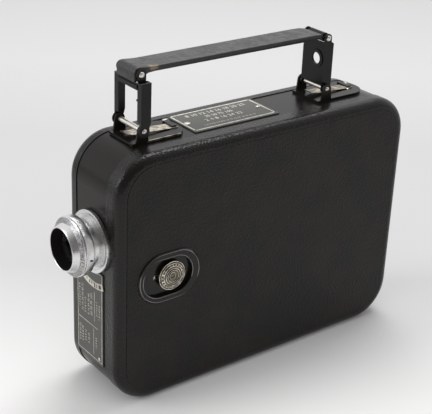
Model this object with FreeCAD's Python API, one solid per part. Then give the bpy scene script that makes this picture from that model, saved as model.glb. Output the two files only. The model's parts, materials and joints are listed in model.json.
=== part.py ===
import FreeCAD, Part
import math
import os

V = FreeCAD.Vector

# Two spools, one above the other, set the height of the case.
SPOOL_RADIUS = 27.0
SPOOL_MARGIN = 4.4
SPOOL_GAP = 2.6
TAKEUP_Z = SPOOL_MARGIN + SPOOL_RADIUS
SUPPLY_Z = TAKEUP_Z + 2 * SPOOL_RADIUS + SPOOL_GAP

# Case: length along Y, thickness along X, height along Z, base on z = 0.
CASE_LENGTH = 165.0
CASE_HEIGHT = SUPPLY_Z + SPOOL_RADIUS + SPOOL_MARGIN
CASE_FRONT = -CASE_LENGTH / 2
CASE_REAR = CASE_LENGTH / 2
DOOR_FACE = 20.2
COVER_FACE = -20.2
BAND_NEAR = 10.45
BAND_FAR = -13.3
DOOR_GAP = 0.3
CORNER_RADIUS = 19.0
BAND_STEP = 0.35
BAND_WALL = 2.2
COVER_WALL = 1.5
EDGE_ROUND = 4.3
LIP_DEPTH = 1.3
LIP_WALL = 1.0
CLEAR = 0.3
RUN = 0.05
OVER = 1.0

# Plate that parts the film chamber from the motor.
PLATE_NEAR = -5.5
PLATE_THICK = 1.5
COVER_POST_RADIUS = 2.6
COVER_POST_INSET = 9.0

# Tripod socket, tapping size of a quarter inch thread.
TRIPOD_RADIUS = 2.6
TRIPOD_LENGTH = 8.0
TRIPOD_BUSH_RADIUS = 5.0

# Lens, stations along Y and radii about the lens axis.
LENS_X = 0.6
LENS_DROP = 42.7
LENS_Z = CASE_HEIGHT - LENS_DROP
FLANGE_RADIUS = 14.2
FLANGE_STAND = 2.1
FLANGE_FRONT = CASE_FRONT - FLANGE_STAND
FLANGE_SEAT_GAP = 0.35
FLANGE_BACK = CASE_FRONT - FLANGE_SEAT_GAP
NECK_RADIUS = 9.8
NECK_DEPTH = 2.5
NECK_END = CASE_FRONT + NECK_DEPTH
BARREL_RADIUS = 11.0
BARREL_BORE = 7.6
TAIL_RADIUS = 8.8
STEP_RADIUS = 11.8
STEP_FRONT_REACH = 6.3
STEP_FRONT = CASE_FRONT - STEP_FRONT_REACH
STEP_BACK_REACH = 5.5
STEP_BACK = CASE_FRONT - STEP_BACK_REACH
RING_REACH = 11.0
RING_FRONT = CASE_FRONT - RING_REACH
RING_BACK = STEP_FRONT - CLEAR
RING_RADIUS = 13.4
HOOD_BACK = RING_FRONT - CLEAR
HOOD_RIDGE_WIDTH = 0.3
HOOD_RIDGE = HOOD_BACK - HOOD_RIDGE_WIDTH
HOOD_RIDGE_RADIUS = 13.3
GROOVE_RADIUS = 12.6
HOOD_NECK_REACH = 1.7
HOOD_NECK = HOOD_BACK - HOOD_NECK_REACH
HOOD_NECK_RADIUS = 10.9
HOOD_ROUND = 0.5
HOOD_REACH = 15.8
HOOD_FRONT = CASE_FRONT - HOOD_REACH
HOOD_FRONT_RADIUS = 9.9
HOOD_BORE = 9.45
HOOD_THROAT = 6.6
HOOD_LAND = 1.2
FRONT_GLASS_DEPTH = 1.2
FRONT_GLASS_Y = HOOD_BACK + FRONT_GLASS_DEPTH
REAR_GLASS_DEPTH = 0.6
REAR_GLASS_Y = NECK_END - REAR_GLASS_DEPTH
IRIS_REACH = 0.5
IRIS_Y = FLANGE_FRONT - IRIS_REACH
IRIS_RADIUS = 2.6
IRIS_THICK = 0.4
GLASS_CROWN = 0.3
GLASS_DOME = 1.2
GLASS_THICK = 2.3

# Etched plates on the front and the top of the band.
ETCHED_FAR = -13.0
ETCHED_NEAR = 8.4
ETCHED_THICK = 0.5
FRONT_PLATE_LOW = 16.3
FRONT_PLATE_DROP = 13.8
FRONT_PLATE_HIGH = LENS_Z - FRONT_PLATE_DROP
NAME_PLATE_LENGTH = 46.8
NAME_PLATE_GAP = 2.3

# Folding handle: pin lines and half widths about its centre plane.
HANDLE_X = -1.6
FRONT_PIN_INSET = 20.1
FRONT_PIN_Y = CASE_FRONT + FRONT_PIN_INSET
REAR_PIN_INSET = 41.9
REAR_PIN_Y = CASE_REAR - REAR_PIN_INSET
LOW_PIN_RISE = 5.8
LOW_PIN_Z = CASE_HEIGHT + LOW_PIN_RISE
LINK_LENGTH = 24.1
HIGH_PIN_Z = LOW_PIN_Z + LINK_LENGTH
ROD_RADIUS = 0.8
EAR_OUTER = 9.2
EAR_INNER = 8.4
EAR_RADIUS = 2.5
ROD_HEAD_THICK = 0.5
ROD_HEAD_RADIUS = 1.2
COLLAR_RADIUS = 1.6
BRACKET_THICK = 1.2
FRONT_BRACKET_TOE = 5.1
FRONT_BRACKET_FRONT = FRONT_PIN_Y - FRONT_BRACKET_TOE
FRONT_BRACKET_HEEL = 24.6
FRONT_BRACKET_REAR = FRONT_PIN_Y + FRONT_BRACKET_HEEL
NAME_PLATE_FRONT = FRONT_BRACKET_REAR + NAME_PLATE_GAP
NAME_PLATE_REAR = NAME_PLATE_FRONT + NAME_PLATE_LENGTH
REAR_BRACKET_TOE = 5.1
REAR_BRACKET_FRONT = REAR_PIN_Y - REAR_BRACKET_TOE
REAR_BRACKET_HEEL = 26.4
REAR_BRACKET_REAR = REAR_PIN_Y + REAR_BRACKET_HEEL
POST_SHEET = 0.7
FRONT_POST_HALF = 10.3
FRONT_POST_OPENING = 7.3
FRONT_POST_FACE = 1.6
FRONT_POST_DEPTH = 3.4
FRONT_POST_EAR = 2.3
FRONT_POST_FOOT = 2.8
FRONT_EAR_HALF = 7.9
SHOULDER_DROP = 3.2
SHOULDER_Z = HIGH_PIN_Z - SHOULDER_DROP
CROSSBAR_LOW_DROP = 6.6
CROSSBAR_LOW = HIGH_PIN_Z - CROSSBAR_LOW_DROP
CROSSBAR_HIGH_DROP = 3.7
CROSSBAR_HIGH = HIGH_PIN_Z - CROSSBAR_HIGH_DROP
REAR_POST_HALF = 7.4
REAR_POST_FACE = 1.9
REAR_POST_DEPTH = 3.6
REAR_POST_EAR = 2.1
REAR_POST_DROP = 1.9
REAR_POST_TOP = HIGH_PIN_Z - REAR_POST_DROP
REAR_POST_SLOPE = 1.0
EYE_X = LENS_X
EYE_DROP = 10.3
EYE_Z = HIGH_PIN_Z - EYE_DROP
EYE_RADIUS = 2.7
EYE_RING_RADIUS = 4.35
EYE_RING_HEIGHT = 0.4
GRIP_HALF = 6.8
GRIP_THICK = 2.3
GRIP_OVER_PIN = 2.4
GRIP_REAR_INSET = 2.4
GRIP_REAR_Y = REAR_PIN_Y - GRIP_REAR_INSET
GRIP_TAPER_LENGTH = 2.0
GRIP_TAPER_Y = GRIP_REAR_Y - GRIP_TAPER_LENGTH
GRIP_END_HALF = 5.9
NOSE_RADIUS = 2.9
NOSE_SWELL_LENGTH = 7.0
NOSE_SWELL_Y = FRONT_PIN_Y + NOSE_SWELL_LENGTH
STRAP_HALF = 5.0
STRAP_THICK = 0.8
STRAP_EYE_RADIUS = 2.1
STRAP_LENGTH = 10.6
STRAP_START_Y = REAR_PIN_Y - STRAP_LENGTH
STRAP_OVER_PIN = 0.7
OPEN_PIVOT = 0.3

# Film door latch, centres in Y and Z on the door face.
BEZEL_INSET = 26.4
BEZEL_Y = CASE_FRONT + BEZEL_INSET
BEZEL_DROP = 58.6
BEZEL_Z = CASE_HEIGHT - BEZEL_DROP
BEZEL_STRAIGHT = 4.2
BEZEL_RADIUS = 12.1
BEZEL_HEIGHT = 0.9
RECESS_SHIFT = 0.9
RECESS_Y = BEZEL_Y - RECESS_SHIFT
RECESS_STRAIGHT = 3.9
RECESS_RADIUS = 8.9
PAN_WALL = 1.3
PAN_FLOOR = 0.6
KNOB_SHIFT = 1.0
KNOB_Y = BEZEL_Y + KNOB_SHIFT
KNOB_RISE = 0.2
KNOB_Z = BEZEL_Z + KNOB_RISE
KNOB_RADIUS = 6.9
KNOB_FACE = 22.0
LATCH_TRAVEL = 7.0
SHANK_RADIUS = 1.4
BOLT_THICK = 1.0
BOLT_TOE = 16.4
BOLT_FRONT = KNOB_Y - BOLT_TOE
BOLT_HEEL = 6.1
BOLT_REAR = KNOB_Y + BOLT_HEEL
BOLT_HALF = 4.0

# Film chamber.
FILM_X = 4.6
SPOOL_INSET = 36.5
SPOOL_Y = CASE_REAR - SPOOL_INSET
SPOOL_FLANGE = 0.6
SPOOL_INNER = 16.6
SPOOL_CORE = 8.0
SPINDLE_RADIUS = 3.0
SPINDLE_SHOULDER = 6.0
SPOOL_WINDOW_RADIUS = 5.0
SPOOL_WINDOW_CIRCLE = (SPOOL_CORE + SPOOL_RADIUS) / 2
GATE_INSET = 12.5
GATE_Y = CASE_FRONT + GATE_INSET
GATE_THICK = 1.0
GATE_NEAR = 13.4
GATE_HALF_HEIGHT = 22.0
APERTURE_HALF_X = 2.4
APERTURE_HALF_Z = 1.75
PAD_HALF_X = 7.8
PAD_SHORTER = 8.0
PAD_HALF_Z = GATE_HALF_HEIGHT - PAD_SHORTER
PAD_THICK = 1.2
PAD_STEM_RADIUS = 1.5
PAD_TRAVEL = 3.0
CLAW_TRAVEL = 3.8
CLAW_BELOW_GATE = 14.7
CLAW_LOW = LENS_Z + GATE_HALF_HEIGHT - CLAW_BELOW_GATE
CLAW_LENGTH = 20.0
CLAW_HIGH = CLAW_LOW + CLAW_LENGTH
ROLLER_RADIUS = 3.5
ROLLER_HALF = 8.3
ROLLER_SETBACK = 9.0
ROLLER_Y = GATE_Y + ROLLER_SETBACK
ROLLER_HIGH_GAP = 6.3
ROLLER_HIGH_Z = LENS_Z + GATE_HALF_HEIGHT + ROLLER_HIGH_GAP
ROLLER_LOW_GAP = 8.7
ROLLER_LOW_Z = LENS_Z - GATE_HALF_HEIGHT - ROLLER_LOW_GAP
SPINDLE_TIP = 1.5
PAD_HOLDER_SETBACK = 8.0
PAD_HOLDER_Y = GATE_Y + PAD_HOLDER_SETBACK
PAD_STEM_OVER = 2.5
PAD_STEM_END = PAD_HOLDER_Y + PAD_TRAVEL + PAD_STEM_OVER
PAD_HOLDER_HALF = 6.0
CLAW_ADVANCE = 2.4
CLAW_Y = GATE_Y - CLAW_ADVANCE
CLAW_HALF = 2.0
CLAW_THICK = 1.0
CLAW_FINGER_X = -2.4
CLAW_FINGER_RISE = 2.0
CLAW_FINGER_Z = CLAW_LOW + CLAW_FINGER_RISE
STUD_RADIUS = 0.9
STUD_LOW_RISE = 12.0
STUD_LOW_Z = CLAW_LOW + STUD_LOW_RISE
STUD_HIGH_RISE = 17.0
STUD_HIGH_Z = CLAW_LOW + STUD_HIGH_RISE

# Motor wheels: centres in Y on one level, teeth and modules.
TRAIN_DROP = 11.8
TRAIN_Z = LENS_Z - TRAIN_DROP
WHEEL_D_INSET = 14.4
WHEEL_D_Y = CASE_FRONT + WHEEL_D_INSET
MODULE_MAIN = 1.0
MODULE_FINE = 0.8
TEETH_B_COUNT = 18
TEETH_A_COUNT = 3 * TEETH_B_COUNT
TEETH_C_COUNT = 24
TEETH_B2_COUNT = 2 * TEETH_C_COUNT
TEETH_D_COUNT = 12
TEETH_G_COUNT = 12
TEETH_C2_COUNT = 3 * TEETH_D_COUNT
WHEEL_C_Y = WHEEL_D_Y + MODULE_FINE * (TEETH_C2_COUNT + TEETH_D_COUNT) / 2
WHEEL_B_Y = WHEEL_C_Y + MODULE_FINE * (TEETH_B2_COUNT + TEETH_C_COUNT) / 2
WHEEL_A_Y = WHEEL_B_Y + MODULE_MAIN * (TEETH_A_COUNT + TEETH_B_COUNT) / 2
GOVERNOR_Z = TRAIN_Z - MODULE_FINE * (TEETH_C2_COUNT + TEETH_G_COUNT) / 2
WHEEL_THICK = 1.4
LEVEL_ONE = -9.0
LEVEL_TWO = -11.1
LEVEL_THREE = -13.2
DRUM_RADIUS = 24.0
DRUM_FAR = -18.0
ARBOR_RADIUS = 1.2
WIND_ARBOR_RADIUS = 3.0
SHUTTER_X = -3.0
SHUTTER_RADIUS = 15.3
SHUTTER_INSET = 6.9
SHUTTER_Y = CASE_FRONT + SHUTTER_INSET
SHUTTER_THICK = 0.5
SHUTTER_SHAFT_RADIUS = 1.0
SHUTTER_BOSS_RADIUS = 2.2
BEVEL_NEAR = 3.0
BEVEL_FAR = 5.0
BEVEL_RELIEF = 0.25
GOVERNOR_RADIUS = 8.0
GOVERNOR_DISC_X = -17.6
SHUTTER_HUB_RADIUS = 3.5

# Winding key, release lever and footage window on the motor side.
KEY_HUB_RADIUS = 7.0
KEY_HUB_THICK = 3.7
KEY_FLOOR = 0.7
KEY_WING_LENGTH = 22.0
KEY_WING_HALF = 2.2
KEY_WING_THICK = 2.2
KEY_PIVOT_RADIUS = 0.6
LEVER_INSET = 14.5
LEVER_Y = CASE_FRONT + LEVER_INSET
LEVER_DROP = 22.9
LEVER_Z = TRAIN_Z - LEVER_DROP
LEVER_TRAVEL = 6.0
LEVER_HALF = 4.0
DIAL_INSET = 32.5
DIAL_Y = CASE_REAR - DIAL_INSET
DIAL_DROP = 16.4
DIAL_Z = CASE_HEIGHT - DIAL_DROP
DIAL_RADIUS = 8.5
WINDOW_RADIUS = 5.0


# Small sizes, steps and edge breaks.
LEVER_SLOT_HALF = 1.8
BEVEL_WINDOW_SETBACK = 7.6
BEVEL_WINDOW_REAR = WHEEL_D_Y + BEVEL_WINDOW_SETBACK
BEVEL_WINDOW_BELOW = 7.9
BEVEL_WINDOW_LOW = TRAIN_Z - BEVEL_WINDOW_BELOW
BEVEL_WINDOW_ABOVE = 8.1
BEVEL_WINDOW_HIGH = TRAIN_Z + BEVEL_WINDOW_ABOVE
COVER_POST_SHIFT = 3.0
BRACKET_END_ROUND = 8.0
EAR_FOOT = 3.2
SLOT_START = 4.0
SLOT_END = 18.0
SLOT_HALF = 3.9
LEAF_HALF = 2.9
LEAF_THICK = 0.4
LEAF_TAIL = 4.5
LEAF_LIFT = 0.9
LEAF_TIP = 3.2
LEAF_TIP_LIFT = 1.5
TOP_HEAD_THICK = 0.7
TOP_HEAD_RADIUS = 1.5
POST_FOOT_RISE = 1.5
FRONT_FOOT_RISE = 3.6
RIB_HEIGHT = 0.4
RIB_INSET = 0.7
NUB_DROP = 11.0
NUB_Z = HIGH_PIN_Z - NUB_DROP
NUB_REACH = 0.8
GRIP_ROUND = 0.7
HOLDER_THICK = 1.5
CLAW_STAND = 0.4
FINGER_HALF = 0.4
FINGER_HEIGHT = 1.0
FINGER_SLOT_HALF = 0.8
STUD_HEAD = 0.6
HEAD_RATIO = 1.7
ROLLER_SHOULDER = 2.0
ROLLER_WAIST = 0.5
ROLLER_CAP = 0.8
TOOTH_ADDENDUM = 0.85
TOOTH_DEDENDUM = 1.15
TOOTH_ROOT_SHARE = 0.33
TOOTH_TIP_SHARE = 0.12
GOVERNOR_DISC_THICK = 0.8
WEIGHT_THICK = 2.4
WEIGHT_RADIUS = 2.2
WEIGHT_CIRCLE = GOVERNOR_RADIUS * 0.6
BRIDGE_THICK = 1.0
BRIDGE_HALF = 2.5
BRIDGE_FOOT = 2.5
BRIDGE_REACH = 3.0
BEARING_GAP = 1.0
DISC_ROOM = 1.0
HUB_CHAMFER = 0.4
KEY_TAB_HALF = KEY_WING_HALF * 2.2
KEY_NECK_WIDTH = 1.5
KEY_NECK = KEY_HUB_RADIUS + KEY_NECK_WIDTH
KEY_SWELL = 4.0
KEY_CORNER = 2.0
BEZEL_CHAMFER = BEZEL_HEIGHT * 0.6
KNOB_STEP = 0.7
KNOB_BREAK = 0.4
KNOB_OUTER_STEP = 1.5
KNOB_RIDGE_OUTER = KNOB_RADIUS - KNOB_OUTER_STEP
KNOB_INNER_STEP = 3.2
KNOB_RIDGE_INNER = KNOB_RADIUS - KNOB_INNER_STEP
KNOB_DISH_STEP = 4.2
KNOB_DISH_RADIUS = KNOB_RADIUS - KNOB_DISH_STEP
KNOB_DISH = 0.2
BUTTON_THICK = 1.8
BUTTON_CHAMFER = 0.6
RETAINER_THICK = 0.8
RETAINER_STEP = 0.8
RETAINER_RADIUS = LEVER_HALF - RETAINER_STEP
DIAL_THICK = 0.8
WINDOW_INSET = 0.3
WINDOW_THICK = 0.9


def box(x0, x1, y0, y1, z0, z1):
    return Part.makeBox(x1 - x0, y1 - y0, z1 - z0, V(x0, y0, z0))


def rod_x(x0, x1, y, z, radius):
    return Part.makeCylinder(radius, x1 - x0, V(x0, y, z), V(1, 0, 0))


def rod_y(y0, y1, x, z, radius):
    return Part.makeCylinder(radius, y1 - y0, V(x, y0, z), V(0, 1, 0))


def rod_z(z0, z1, x, y, radius):
    return Part.makeCylinder(radius, z1 - z0, V(x, y, z0), V(0, 0, 1))


def prism_x(points, x0, x1):
    closed = [V(x0, y, z) for y, z in points] + [V(x0, points[0][0], points[0][1])]
    return Part.Face(Part.makePolygon(closed)).extrude(V(x1 - x0, 0, 0))


def prism_z(points, z0, z1):
    closed = [V(x, y, z0) for x, y in points] + [V(points[0][0], points[0][1], z0)]
    return Part.Face(Part.makePolygon(closed)).extrude(V(0, 0, z1 - z0))


def turned_y(points, x, z):
    closed = [V(x + r, y, z) for y, r in points] + [V(x + points[0][1], points[0][0], z)]
    face = Part.Face(Part.makePolygon(closed))
    return face.revolve(V(x, 0, z), V(0, 1, 0), 360)


def turned_x(points, y, z):
    closed = [V(x, y, z + r) for x, r in points] + [V(points[0][0], y, z + points[0][1])]
    face = Part.Face(Part.makePolygon(closed))
    return face.revolve(V(0, y, z), V(1, 0, 0), 360)


def stadium_x(y, z, straight, radius, x0, x1):
    middle = box(x0, x1, y - straight, y + straight, z - radius, z + radius)
    ends = rod_x(x0, x1, y - straight, z, radius).fuse(rod_x(x0, x1, y + straight, z, radius))
    return middle.fuse(ends).removeSplitter()


def case_block(x0, x1, inset):
    half = CASE_LENGTH / 2 - inset
    block = box(x0, x1, -half, half, inset, CASE_HEIGHT - inset)
    upright = [e for e in block.Edges if abs(e.Vertexes[0].Y - e.Vertexes[1].Y) < 0.01
               and abs(e.Vertexes[0].Z - e.Vertexes[1].Z) < 0.01]
    return block.makeFillet(CORNER_RADIUS - inset, upright)


def rounded_cover(x0, x1, face_at_high):
    block = case_block(x0, x1, 0.0)
    face_x = x1 if face_at_high else x0
    rim = [e for e in block.Edges if all(abs(v.X - face_x) < 0.01 for v in e.Vertexes)]
    return block.makeFillet(EDGE_ROUND, rim)


def gear(tooth_count, module, y, z, x0, x1, bore, turn):
    pitch = module * tooth_count / 2
    tip = pitch + module * TOOTH_ADDENDUM
    root = pitch - module * TOOTH_DEDENDUM
    corners = ((root, -TOOTH_ROOT_SHARE), (tip, -TOOTH_TIP_SHARE), (tip, TOOTH_TIP_SHARE),
               (root, TOOTH_ROOT_SHARE))
    step = 2 * math.pi / tooth_count
    points = []
    for index in range(tooth_count):
        middle = turn + index * step
        for radius, share in corners:
            angle = middle + share * step
            points.append((y + radius * math.cos(angle), z + radius * math.sin(angle)))
    wheel = prism_x(points, x0, x1)
    if bore > 0:
        wheel = wheel.cut(rod_x(x0 - OVER, x1 + OVER, y, z, bore))
    return wheel


def circles_at(shape, x):
    """Round edges of the shape that lie in the plane x."""
    return [e for e in shape.Edges if len(e.Vertexes) == 1 and abs(e.Vertexes[0].X - x) < 0.01]


def save(shape, name):
    shape.exportStep("parts/" + name + ".step")


def build_case():
    """Band, plate between chambers, motor cover, film door and tripod bush."""
    inner = BAND_STEP + BAND_WALL
    band = case_block(BAND_FAR, BAND_NEAR, BAND_STEP)
    band = band.cut(case_block(BAND_FAR - OVER, BAND_NEAR + OVER, inner))
    band = band.cut(rod_y(CASE_FRONT - OVER, NECK_END, LENS_X, LENS_Z, NECK_RADIUS))
    band = band.cut(rod_z(-OVER, inner + OVER, 0, 0, TRIPOD_BUSH_RADIUS))
    save(band, "case_band")

    far = PLATE_NEAR - PLATE_THICK
    plate = case_block(far, PLATE_NEAR, inner)
    back = far - OVER
    front = PLATE_NEAR + OVER
    plate = plate.cut(rod_y(CASE_FRONT, NECK_END + CLEAR, LENS_X, LENS_Z, NECK_RADIUS + CLEAR))
    plate = plate.cut(box(back, front, CASE_FRONT, BEVEL_WINDOW_REAR, BEVEL_WINDOW_LOW, BEVEL_WINDOW_HIGH))
    plate = plate.cut(box(back, front, SHUTTER_Y - DISC_ROOM, SHUTTER_Y + SHUTTER_THICK + DISC_ROOM,
                          TRAIN_Z - SHUTTER_RADIUS - DISC_ROOM, TRAIN_Z + SHUTTER_RADIUS + DISC_ROOM))
    for y in (CASE_FRONT + COVER_POST_INSET, CASE_REAR - COVER_POST_INSET):
        for z in (COVER_POST_INSET, CASE_HEIGHT - COVER_POST_INSET):
            inward_y = y + math.copysign(COVER_POST_SHIFT, -y)
            inward_z = z + (COVER_POST_SHIFT if z < CASE_HEIGHT / 2 else -COVER_POST_SHIFT)
            post = rod_x(COVER_FACE + COVER_WALL, far, inward_y, inward_z, COVER_POST_RADIUS)
            plate = plate.fuse(post)
    for y, z in ((WHEEL_A_Y, TRAIN_Z), (WHEEL_B_Y, TRAIN_Z), (WHEEL_C_Y, TRAIN_Z), (WHEEL_C_Y, GOVERNOR_Z),
                 (SPOOL_Y, TAKEUP_Z)):
        plate = plate.cut(rod_x(back, front, y, z, ARBOR_RADIUS + RUN))
    save(plate.removeSplitter(), "mechanism_plate")

    cover = rounded_cover(COVER_FACE, BAND_FAR, False)
    cover = cover.cut(case_block(COVER_FACE + COVER_WALL, BAND_FAR + OVER, inner))
    outside = COVER_FACE - OVER
    inside = COVER_FACE + COVER_WALL + OVER
    cover = cover.cut(rod_x(outside, inside, WHEEL_A_Y, TRAIN_Z, WIND_ARBOR_RADIUS + RUN))
    cover = cover.cut(rod_x(outside, inside, DIAL_Y, DIAL_Z, WINDOW_RADIUS))
    slot = box(outside, inside, LEVER_Y - LEVER_SLOT_HALF, LEVER_Y + LEVER_SLOT_HALF,
               LEVER_Z - LEVER_TRAVEL - LEVER_SLOT_HALF, LEVER_Z + LEVER_SLOT_HALF)
    cover = cover.cut(slot)
    save(cover, "motor_cover")

    rim = BAND_NEAR + DOOR_GAP
    door = rounded_cover(rim, DOOR_FACE, True)
    lip_outer = inner + CLEAR
    lip_inner = lip_outer + LIP_WALL
    lip = case_block(BAND_NEAR - LIP_DEPTH, rim, lip_outer)
    door = door.fuse(lip)
    door = door.cut(case_block(BAND_NEAR - LIP_DEPTH - OVER, rim + LIP_DEPTH, lip_inner))
    door = door.cut(case_block(rim + LIP_DEPTH, DOOR_FACE - COVER_WALL, inner))
    door = door.cut(stadium_x(RECESS_Y, BEZEL_Z, RECESS_STRAIGHT, RECESS_RADIUS + PAN_WALL,
                              DOOR_FACE - COVER_WALL - OVER, DOOR_FACE + OVER))
    save(door.removeSplitter(), "film_door")

    bush = rod_z(0, TRIPOD_LENGTH, 0, 0, TRIPOD_BUSH_RADIUS)
    bush = bush.cut(rod_z(-OVER, TRIPOD_LENGTH + OVER, 0, 0, TRIPOD_RADIUS))
    save(bush, "tripod_bush")


def build_lens():
    """Turned lens parts about the optical axis."""
    flange = turned_y([(FLANGE_FRONT, TAIL_RADIUS), (FLANGE_FRONT, FLANGE_RADIUS - CLEAR),
                       (FLANGE_FRONT + CLEAR, FLANGE_RADIUS), (FLANGE_BACK, FLANGE_RADIUS),
                       (FLANGE_BACK, NECK_RADIUS), (NECK_END, NECK_RADIUS), (NECK_END, TAIL_RADIUS)],
                      LENS_X, LENS_Z)
    save(flange, "lens_flange")

    barrel = turned_y([(HOOD_BACK, BARREL_BORE), (HOOD_BACK, BARREL_RADIUS), (STEP_FRONT, BARREL_RADIUS),
                       (STEP_FRONT, STEP_RADIUS), (STEP_BACK, STEP_RADIUS), (STEP_BACK, BARREL_RADIUS),
                       (FLANGE_FRONT, BARREL_RADIUS), (FLANGE_FRONT, TAIL_RADIUS),
                       (NECK_END, TAIL_RADIUS), (NECK_END, BARREL_BORE)], LENS_X, LENS_Z)
    save(barrel, "lens_barrel")

    bore = BARREL_RADIUS + RUN
    ring = turned_y([(RING_FRONT, bore), (RING_FRONT, RING_RADIUS - CLEAR), (RING_FRONT + CLEAR, RING_RADIUS),
                     (RING_BACK - CLEAR, RING_RADIUS), (RING_BACK, RING_RADIUS - CLEAR), (RING_BACK, bore)],
                    LENS_X, LENS_Z)
    save(ring, "diaphragm_ring")

    profile = [(HOOD_FRONT, HOOD_BORE), (HOOD_FRONT, HOOD_FRONT_RADIUS - HOOD_ROUND),
               (HOOD_FRONT + HOOD_ROUND, HOOD_FRONT_RADIUS), (HOOD_NECK, HOOD_NECK_RADIUS),
               (HOOD_RIDGE, HOOD_RIDGE_RADIUS), (HOOD_RIDGE, GROOVE_RADIUS), (HOOD_BACK, GROOVE_RADIUS),
               (HOOD_BACK, HOOD_THROAT), (HOOD_FRONT + HOOD_LAND, HOOD_BORE)]
    save(turned_y(profile, LENS_X, LENS_Z), "lens_hood")

    front = turned_y([(FRONT_GLASS_Y, 0), (FRONT_GLASS_Y + GLASS_CROWN, BARREL_BORE / 2),
                      (FRONT_GLASS_Y + GLASS_DOME, BARREL_BORE), (FRONT_GLASS_Y + GLASS_THICK, BARREL_BORE),
                      (FRONT_GLASS_Y + GLASS_THICK, 0)], LENS_X, LENS_Z)
    save(front, "front_element")
    rear = turned_y([(REAR_GLASS_Y, 0), (REAR_GLASS_Y - GLASS_CROWN, BARREL_BORE),
                     (REAR_GLASS_Y - GLASS_THICK, BARREL_BORE), (REAR_GLASS_Y - GLASS_THICK, 0)],
                    LENS_X, LENS_Z)
    save(rear, "rear_element")
    iris = rod_y(IRIS_Y - IRIS_THICK, IRIS_Y, LENS_X, LENS_Z, BARREL_BORE)
    save(iris.cut(rod_y(IRIS_Y - OVER, IRIS_Y + OVER, LENS_X, LENS_Z, IRIS_RADIUS)), "iris_plate")


def build_etched_plates():
    """Thin plates that follow the band, one on the front and one on the top."""
    skin = case_block(ETCHED_FAR, ETCHED_NEAR, BAND_STEP - ETCHED_THICK)
    skin = skin.cut(case_block(ETCHED_FAR - OVER, ETCHED_NEAR + OVER, BAND_STEP))
    front = skin.common(box(ETCHED_FAR - OVER, ETCHED_NEAR + OVER, CASE_FRONT * 2, 0, FRONT_PLATE_LOW,
                            FRONT_PLATE_HIGH))
    save(front, "front_plate")
    top = skin.common(box(ETCHED_FAR - OVER, ETCHED_NEAR + OVER, NAME_PLATE_FRONT, NAME_PLATE_REAR,
                          CASE_HEIGHT / 2, CASE_HEIGHT * 2))
    save(top, "name_plate")


def bracket(pin_y, y_front, y_rear, back):
    """Pressed foot with two ears; back is the side of the pin on which its spring slot lies."""
    low = CASE_HEIGHT - BAND_STEP
    top = low + BRACKET_THICK
    x0 = HANDLE_X - EAR_OUTER
    x1 = HANDLE_X + EAR_OUTER
    plate = box(x0, x1, y_front, y_rear, low, top)
    corners = [e for e in plate.Edges if abs(e.Vertexes[0].X - e.Vertexes[1].X) < 0.01
               and abs(e.Vertexes[0].Y - e.Vertexes[1].Y) < 0.01]
    rear_corners = [e for e in corners if abs(e.Vertexes[0].Y - y_rear) < 0.01]
    front_corners = [e for e in corners if abs(e.Vertexes[0].Y - y_front) < 0.01]
    far_corners = rear_corners if back * (y_rear - pin_y) > back * (y_front - pin_y) else front_corners
    plate = plate.makeFillet(BRACKET_END_ROUND, far_corners)
    for x in (x0, HANDLE_X + EAR_INNER):
        sheet = EAR_OUTER - EAR_INNER
        ear = prism_x([(pin_y - EAR_FOOT, low), (pin_y + EAR_FOOT, low), (pin_y + EAR_RADIUS, LOW_PIN_Z),
                       (pin_y - EAR_RADIUS, LOW_PIN_Z)], x, x + sheet)
        ear = ear.fuse(rod_x(x, x + sheet, pin_y, LOW_PIN_Z, EAR_RADIUS))
        plate = plate.fuse(ear)
    near = pin_y + back * SLOT_START
    end = pin_y + back * SLOT_END
    plate = plate.cut(box(HANDLE_X - SLOT_HALF, HANDLE_X + SLOT_HALF, min(near, end), max(near, end),
                          low - OVER, top + OVER))
    plate = plate.cut(rod_x(x0 - OVER, x1 + OVER, pin_y, LOW_PIN_Z, ROD_RADIUS))
    return plate.removeSplitter()


def leaf_spring(pin_y, back):
    """Spring strip from behind the slot to a turned up end in front of the pin."""
    low = CASE_HEIGHT - BAND_STEP + BRACKET_THICK
    stations = [(SLOT_END + LEAF_TAIL, 0.0), (SLOT_END, 0.0), (SLOT_START, LEAF_LIFT), (0.0, LEAF_LIFT),
                (-LEAF_TIP, LEAF_TIP_LIFT)]
    lower = [(pin_y + back * away, low + lift) for away, lift in stations]
    upper = [(y, z + LEAF_THICK) for y, z in reversed(lower)]
    return prism_x(lower + upper, HANDLE_X - LEAF_HALF, HANDLE_X + LEAF_HALF)


def rod_rings(rod, pin_y, start, end, radius):
    """Adds the same ring on both sides of the rod."""
    rod = rod.fuse(rod_x(HANDLE_X + start, HANDLE_X + end, pin_y, LOW_PIN_Z, radius))
    return rod.fuse(rod_x(HANDLE_X - end, HANDLE_X - start, pin_y, LOW_PIN_Z, radius)).removeSplitter()


def hinge_rod(pin_y, head_from):
    """Rod held in the ears, with a head on each side."""
    reach = head_from + ROD_HEAD_THICK
    rod = rod_x(HANDLE_X - reach, HANDLE_X + reach, pin_y, LOW_PIN_Z, ROD_RADIUS)
    return rod_rings(rod, pin_y, head_from, reach, ROD_HEAD_RADIUS)


def top_pin(pin_y, half):
    reach = half + TOP_HEAD_THICK
    pin = rod_x(HANDLE_X - reach, HANDLE_X + reach, pin_y, HIGH_PIN_Z, ROD_RADIUS)
    for start, end in ((-reach, -half), (half, reach)):
        pin = pin.fuse(rod_x(HANDLE_X + start, HANDLE_X + end, pin_y, HIGH_PIN_Z, TOP_HEAD_RADIUS))
    return pin.removeSplitter()


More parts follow.
